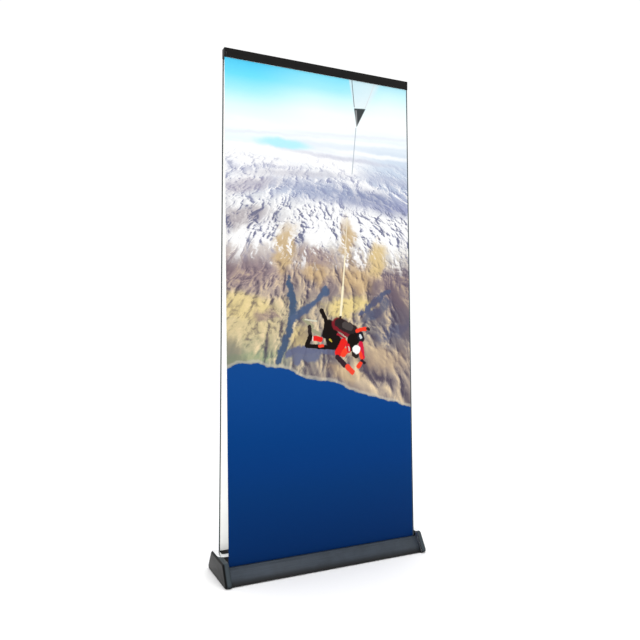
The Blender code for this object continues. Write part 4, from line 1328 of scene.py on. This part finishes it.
# %% Feet
RINGS, RING_DEPTH = 3, 0.4 * MM
for end in ("left", "right"):
    for side in ("front", "rear"):
        node = f"foot_{side}_{end}"
        low, high, middle = middle_of(node)
        radius, chamfer = (high.x - low.x) / 2, 0.9 * MM
        points = [(0, 0)]
        pitch = (radius - chamfer) / (RINGS + 0.5)
        for i in range(RINGS):
            start = pitch * (i + 0.6)
            points += [(start, 0), (start + pitch * 0.12, RING_DEPTH)]
            points += [(start + pitch * 0.38, RING_DEPTH), (start + pitch * 0.5, 0)]
        points += [(radius - chamfer, 0), (radius, chamfer), (radius, high.z - 0.3 * MM)]
        points += [(radius - 0.3 * MM, high.z), (0, high.z)]
        axis_foot = (middle.x, middle.y, 0)
        turned(f"{node}_ringed", points, axis_foot, "base", "rubber", [node], steps=48)

# %% [markdown]
# ## Rollers inside the base
#
# Each sheet winds on an aluminium tube, with a few turns of film left on it. The turns show
# at the wrap's ends as fine rings, so its end faces are stepped. Plugs close the tube: one
# turns on a pin, and the other turns round the fixed shaft that holds the spring.

# %% Rollers
WRAP_TURNS = 3
for side in ("front", "rear"):
    body = f"{side}_roller"
    low, high, middle = middle_of(f"{side}_roller_tube")
    outer = (high.z - low.z) / 2
    points = tube_points(outer, outer - TUBE_WALL, low.x, high.x, 0.3 * MM)
    turned(
        f"{side}_roller_tube_drawn", points, (0, middle.y, middle.z), body, "raw_aluminium",
        [f"{side}_roller_tube"], axis="X", steps=48,
    )
    low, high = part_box(f"{side}_roller_wrap")
    radius, inner, half = (high.z - low.z) / 2, outer + 0.3 * MM, (high.x - low.x) / 2
    layer = (radius - inner) / WRAP_TURNS
    stairs = [(inner + layer * i, half - 0.5 * MM * (i % 2)) for i in range(WRAP_TURNS + 1)]
    right_end = []
    for (r0, d0), (r1, _) in zip(stairs, stairs[1:]):
        right_end += [(r0, d0), (r1, d0)]
    points = right_end + [(r, -d) for r, d in right_end[::-1]]
    turned(
        f"{side}_film_turns", points, (0, middle.y, middle.z), body, "white_film",
        [f"{side}_roller_wrap"], axis="X", steps=48,
    )
    softened(f"{side}_idle_plug", 0.3 * MM, "black_plastic", 2)
    softened(f"{side}_spring_plug", 0.3 * MM, "black_plastic", 2)
    softened(f"{side}_spring_shaft", 0.3 * MM, "zinc_steel", 2)
    softened(f"{side}_leader", 0.05 * MM, "white_film", 1)
for end in ("left", "right"):
    softened(f"bearing_plate_{end}", 0.3 * MM, "zinc_steel", 1)

# %% [markdown]
# ## The snap rail
#
# The rail is a black anodised extrusion. Two jaws hang from it and snap on the film's hem, and
# a thin moulded cap closes each end. A bracket under its middle takes the head of the pole.

# %% Rail, jaws, caps and hems
softened("top_rail", 0.5 * MM, "black_aluminium", 3)
for side in ("front", "rear"):
    softened(f"{side}_rail_jaw", 0.4 * MM, "black_aluminium", 3)
    softened(f"{side}_hem_strip", 0.1 * MM, "white_film", 1)
for end in ("left", "right"):
    softened(f"rail_cap_{end}", 0.8 * MM, "black_plastic", 3)
softened("rail_bracket", 0.5 * MM, "black_plastic", 2)
for node in frame["nodes"].values():
    if not node.hide_render:
        print("still shown as packed:", node.name)

# %% [markdown]
# ## Floor, light and camera
#
# The stand is seen in an even white studio. The world gives light from all round, and five
# area lights give the metal something to reflect: a high key at the left front, a small one
# in front whose reflection brightens the left end of the base, one at the right, one behind,
# and a wide one overhead that keeps the floor white. The floor is a pale plane that runs
# far back, so it meets the background without a line.

# %% Studio
FLOOR_HALF = 14.0
bm = bmesh.new()
signs = ((-1, -1), (1, -1), (1, 1), (-1, 1))
bm.faces.new([bm.verts.new((x * FLOOR_HALF, y * FLOOR_HALF, 0)) for x, y in signs])
mesh = plain_mesh("studio_floor", bm)
floor = bpy.data.objects.new("studio_floor", mesh)
link(floor)
floor_paint = Finish("studio_floor", Roughness=0.9, Specular_IOR_Level=0.1)
patches = floor_paint.noise(floor_paint.place(), 0.6, 2)
floor_paint.drive("Base Color", floor_paint.mix(patches, "#fdfdfd", "#ffffff"))
mesh.materials.append(floor_paint.material)

world = bpy.data.worlds.new("studio")
world.use_nodes = True
background = world.node_tree.nodes["Background"]
background.inputs["Color"].default_value = rgb("#ffffff")
background.inputs["Strength"].default_value = 1.04
bpy.context.scene.world = world
bpy.context.scene.view_settings.view_transform = "Standard"
bpy.context.scene.view_settings.look = "None"
bpy.context.scene.view_settings.exposure = 0.0


def soft_light(name, place, aim, size, power):
    lamp = bpy.data.lights.new(name, "AREA")
    lamp.shape, lamp.size, lamp.size_y, lamp.energy = "RECTANGLE", size[0], size[1], power
    light = bpy.data.objects.new(name, lamp)
    light.location = place
    light.rotation_euler = (Vector(aim) - Vector(place)).to_track_quat("-Z", "Y").to_euler()
    link(light)


LIGHTS = [
    # name, place, aim, size in metres, watts
    ("key", (-2.6, -3.2, 3.4), (0, 0, 0.9), (1.2, 1.2), 10),
    ("front", (0.35, -2.2, 2.0), (-0.45, -0.1, 0.05), (0.35, 0.35), 6),
    ("side", (3.2, -1.2, 2.2), (0, 0, 1.0), (0.9, 1.6), 8),
    ("back", (0.6, 3.4, 3.0), (0, 0, 1.0), (1.6, 1.4), 10),
    ("top", (0.0, 0.0, 4.6), (0, 0, 0), (3.0, 3.0), 55),
]
for settings in LIGHTS:
    soft_light(*settings)
print("studio lit by", len(LIGHTS), "area lights and the world")

# %% [markdown]
# The camera stands at chest height, a little to the left, and looks level, so the stand's
# upright lines stay upright in the picture.

# %% Camera and hand-over
camera_data = bpy.data.cameras.new("camera")
camera_data.lens, camera_data.sensor_width = 35.594, 36.0  # millimetres
camera = bpy.data.objects.new("camera", camera_data)
camera.location = (-1.1534, -2.4216, 1.0165)
camera.rotation_euler = (math.radians(90), 0, math.radians(-25.41))
link(camera)
bpy.context.scene.camera = camera
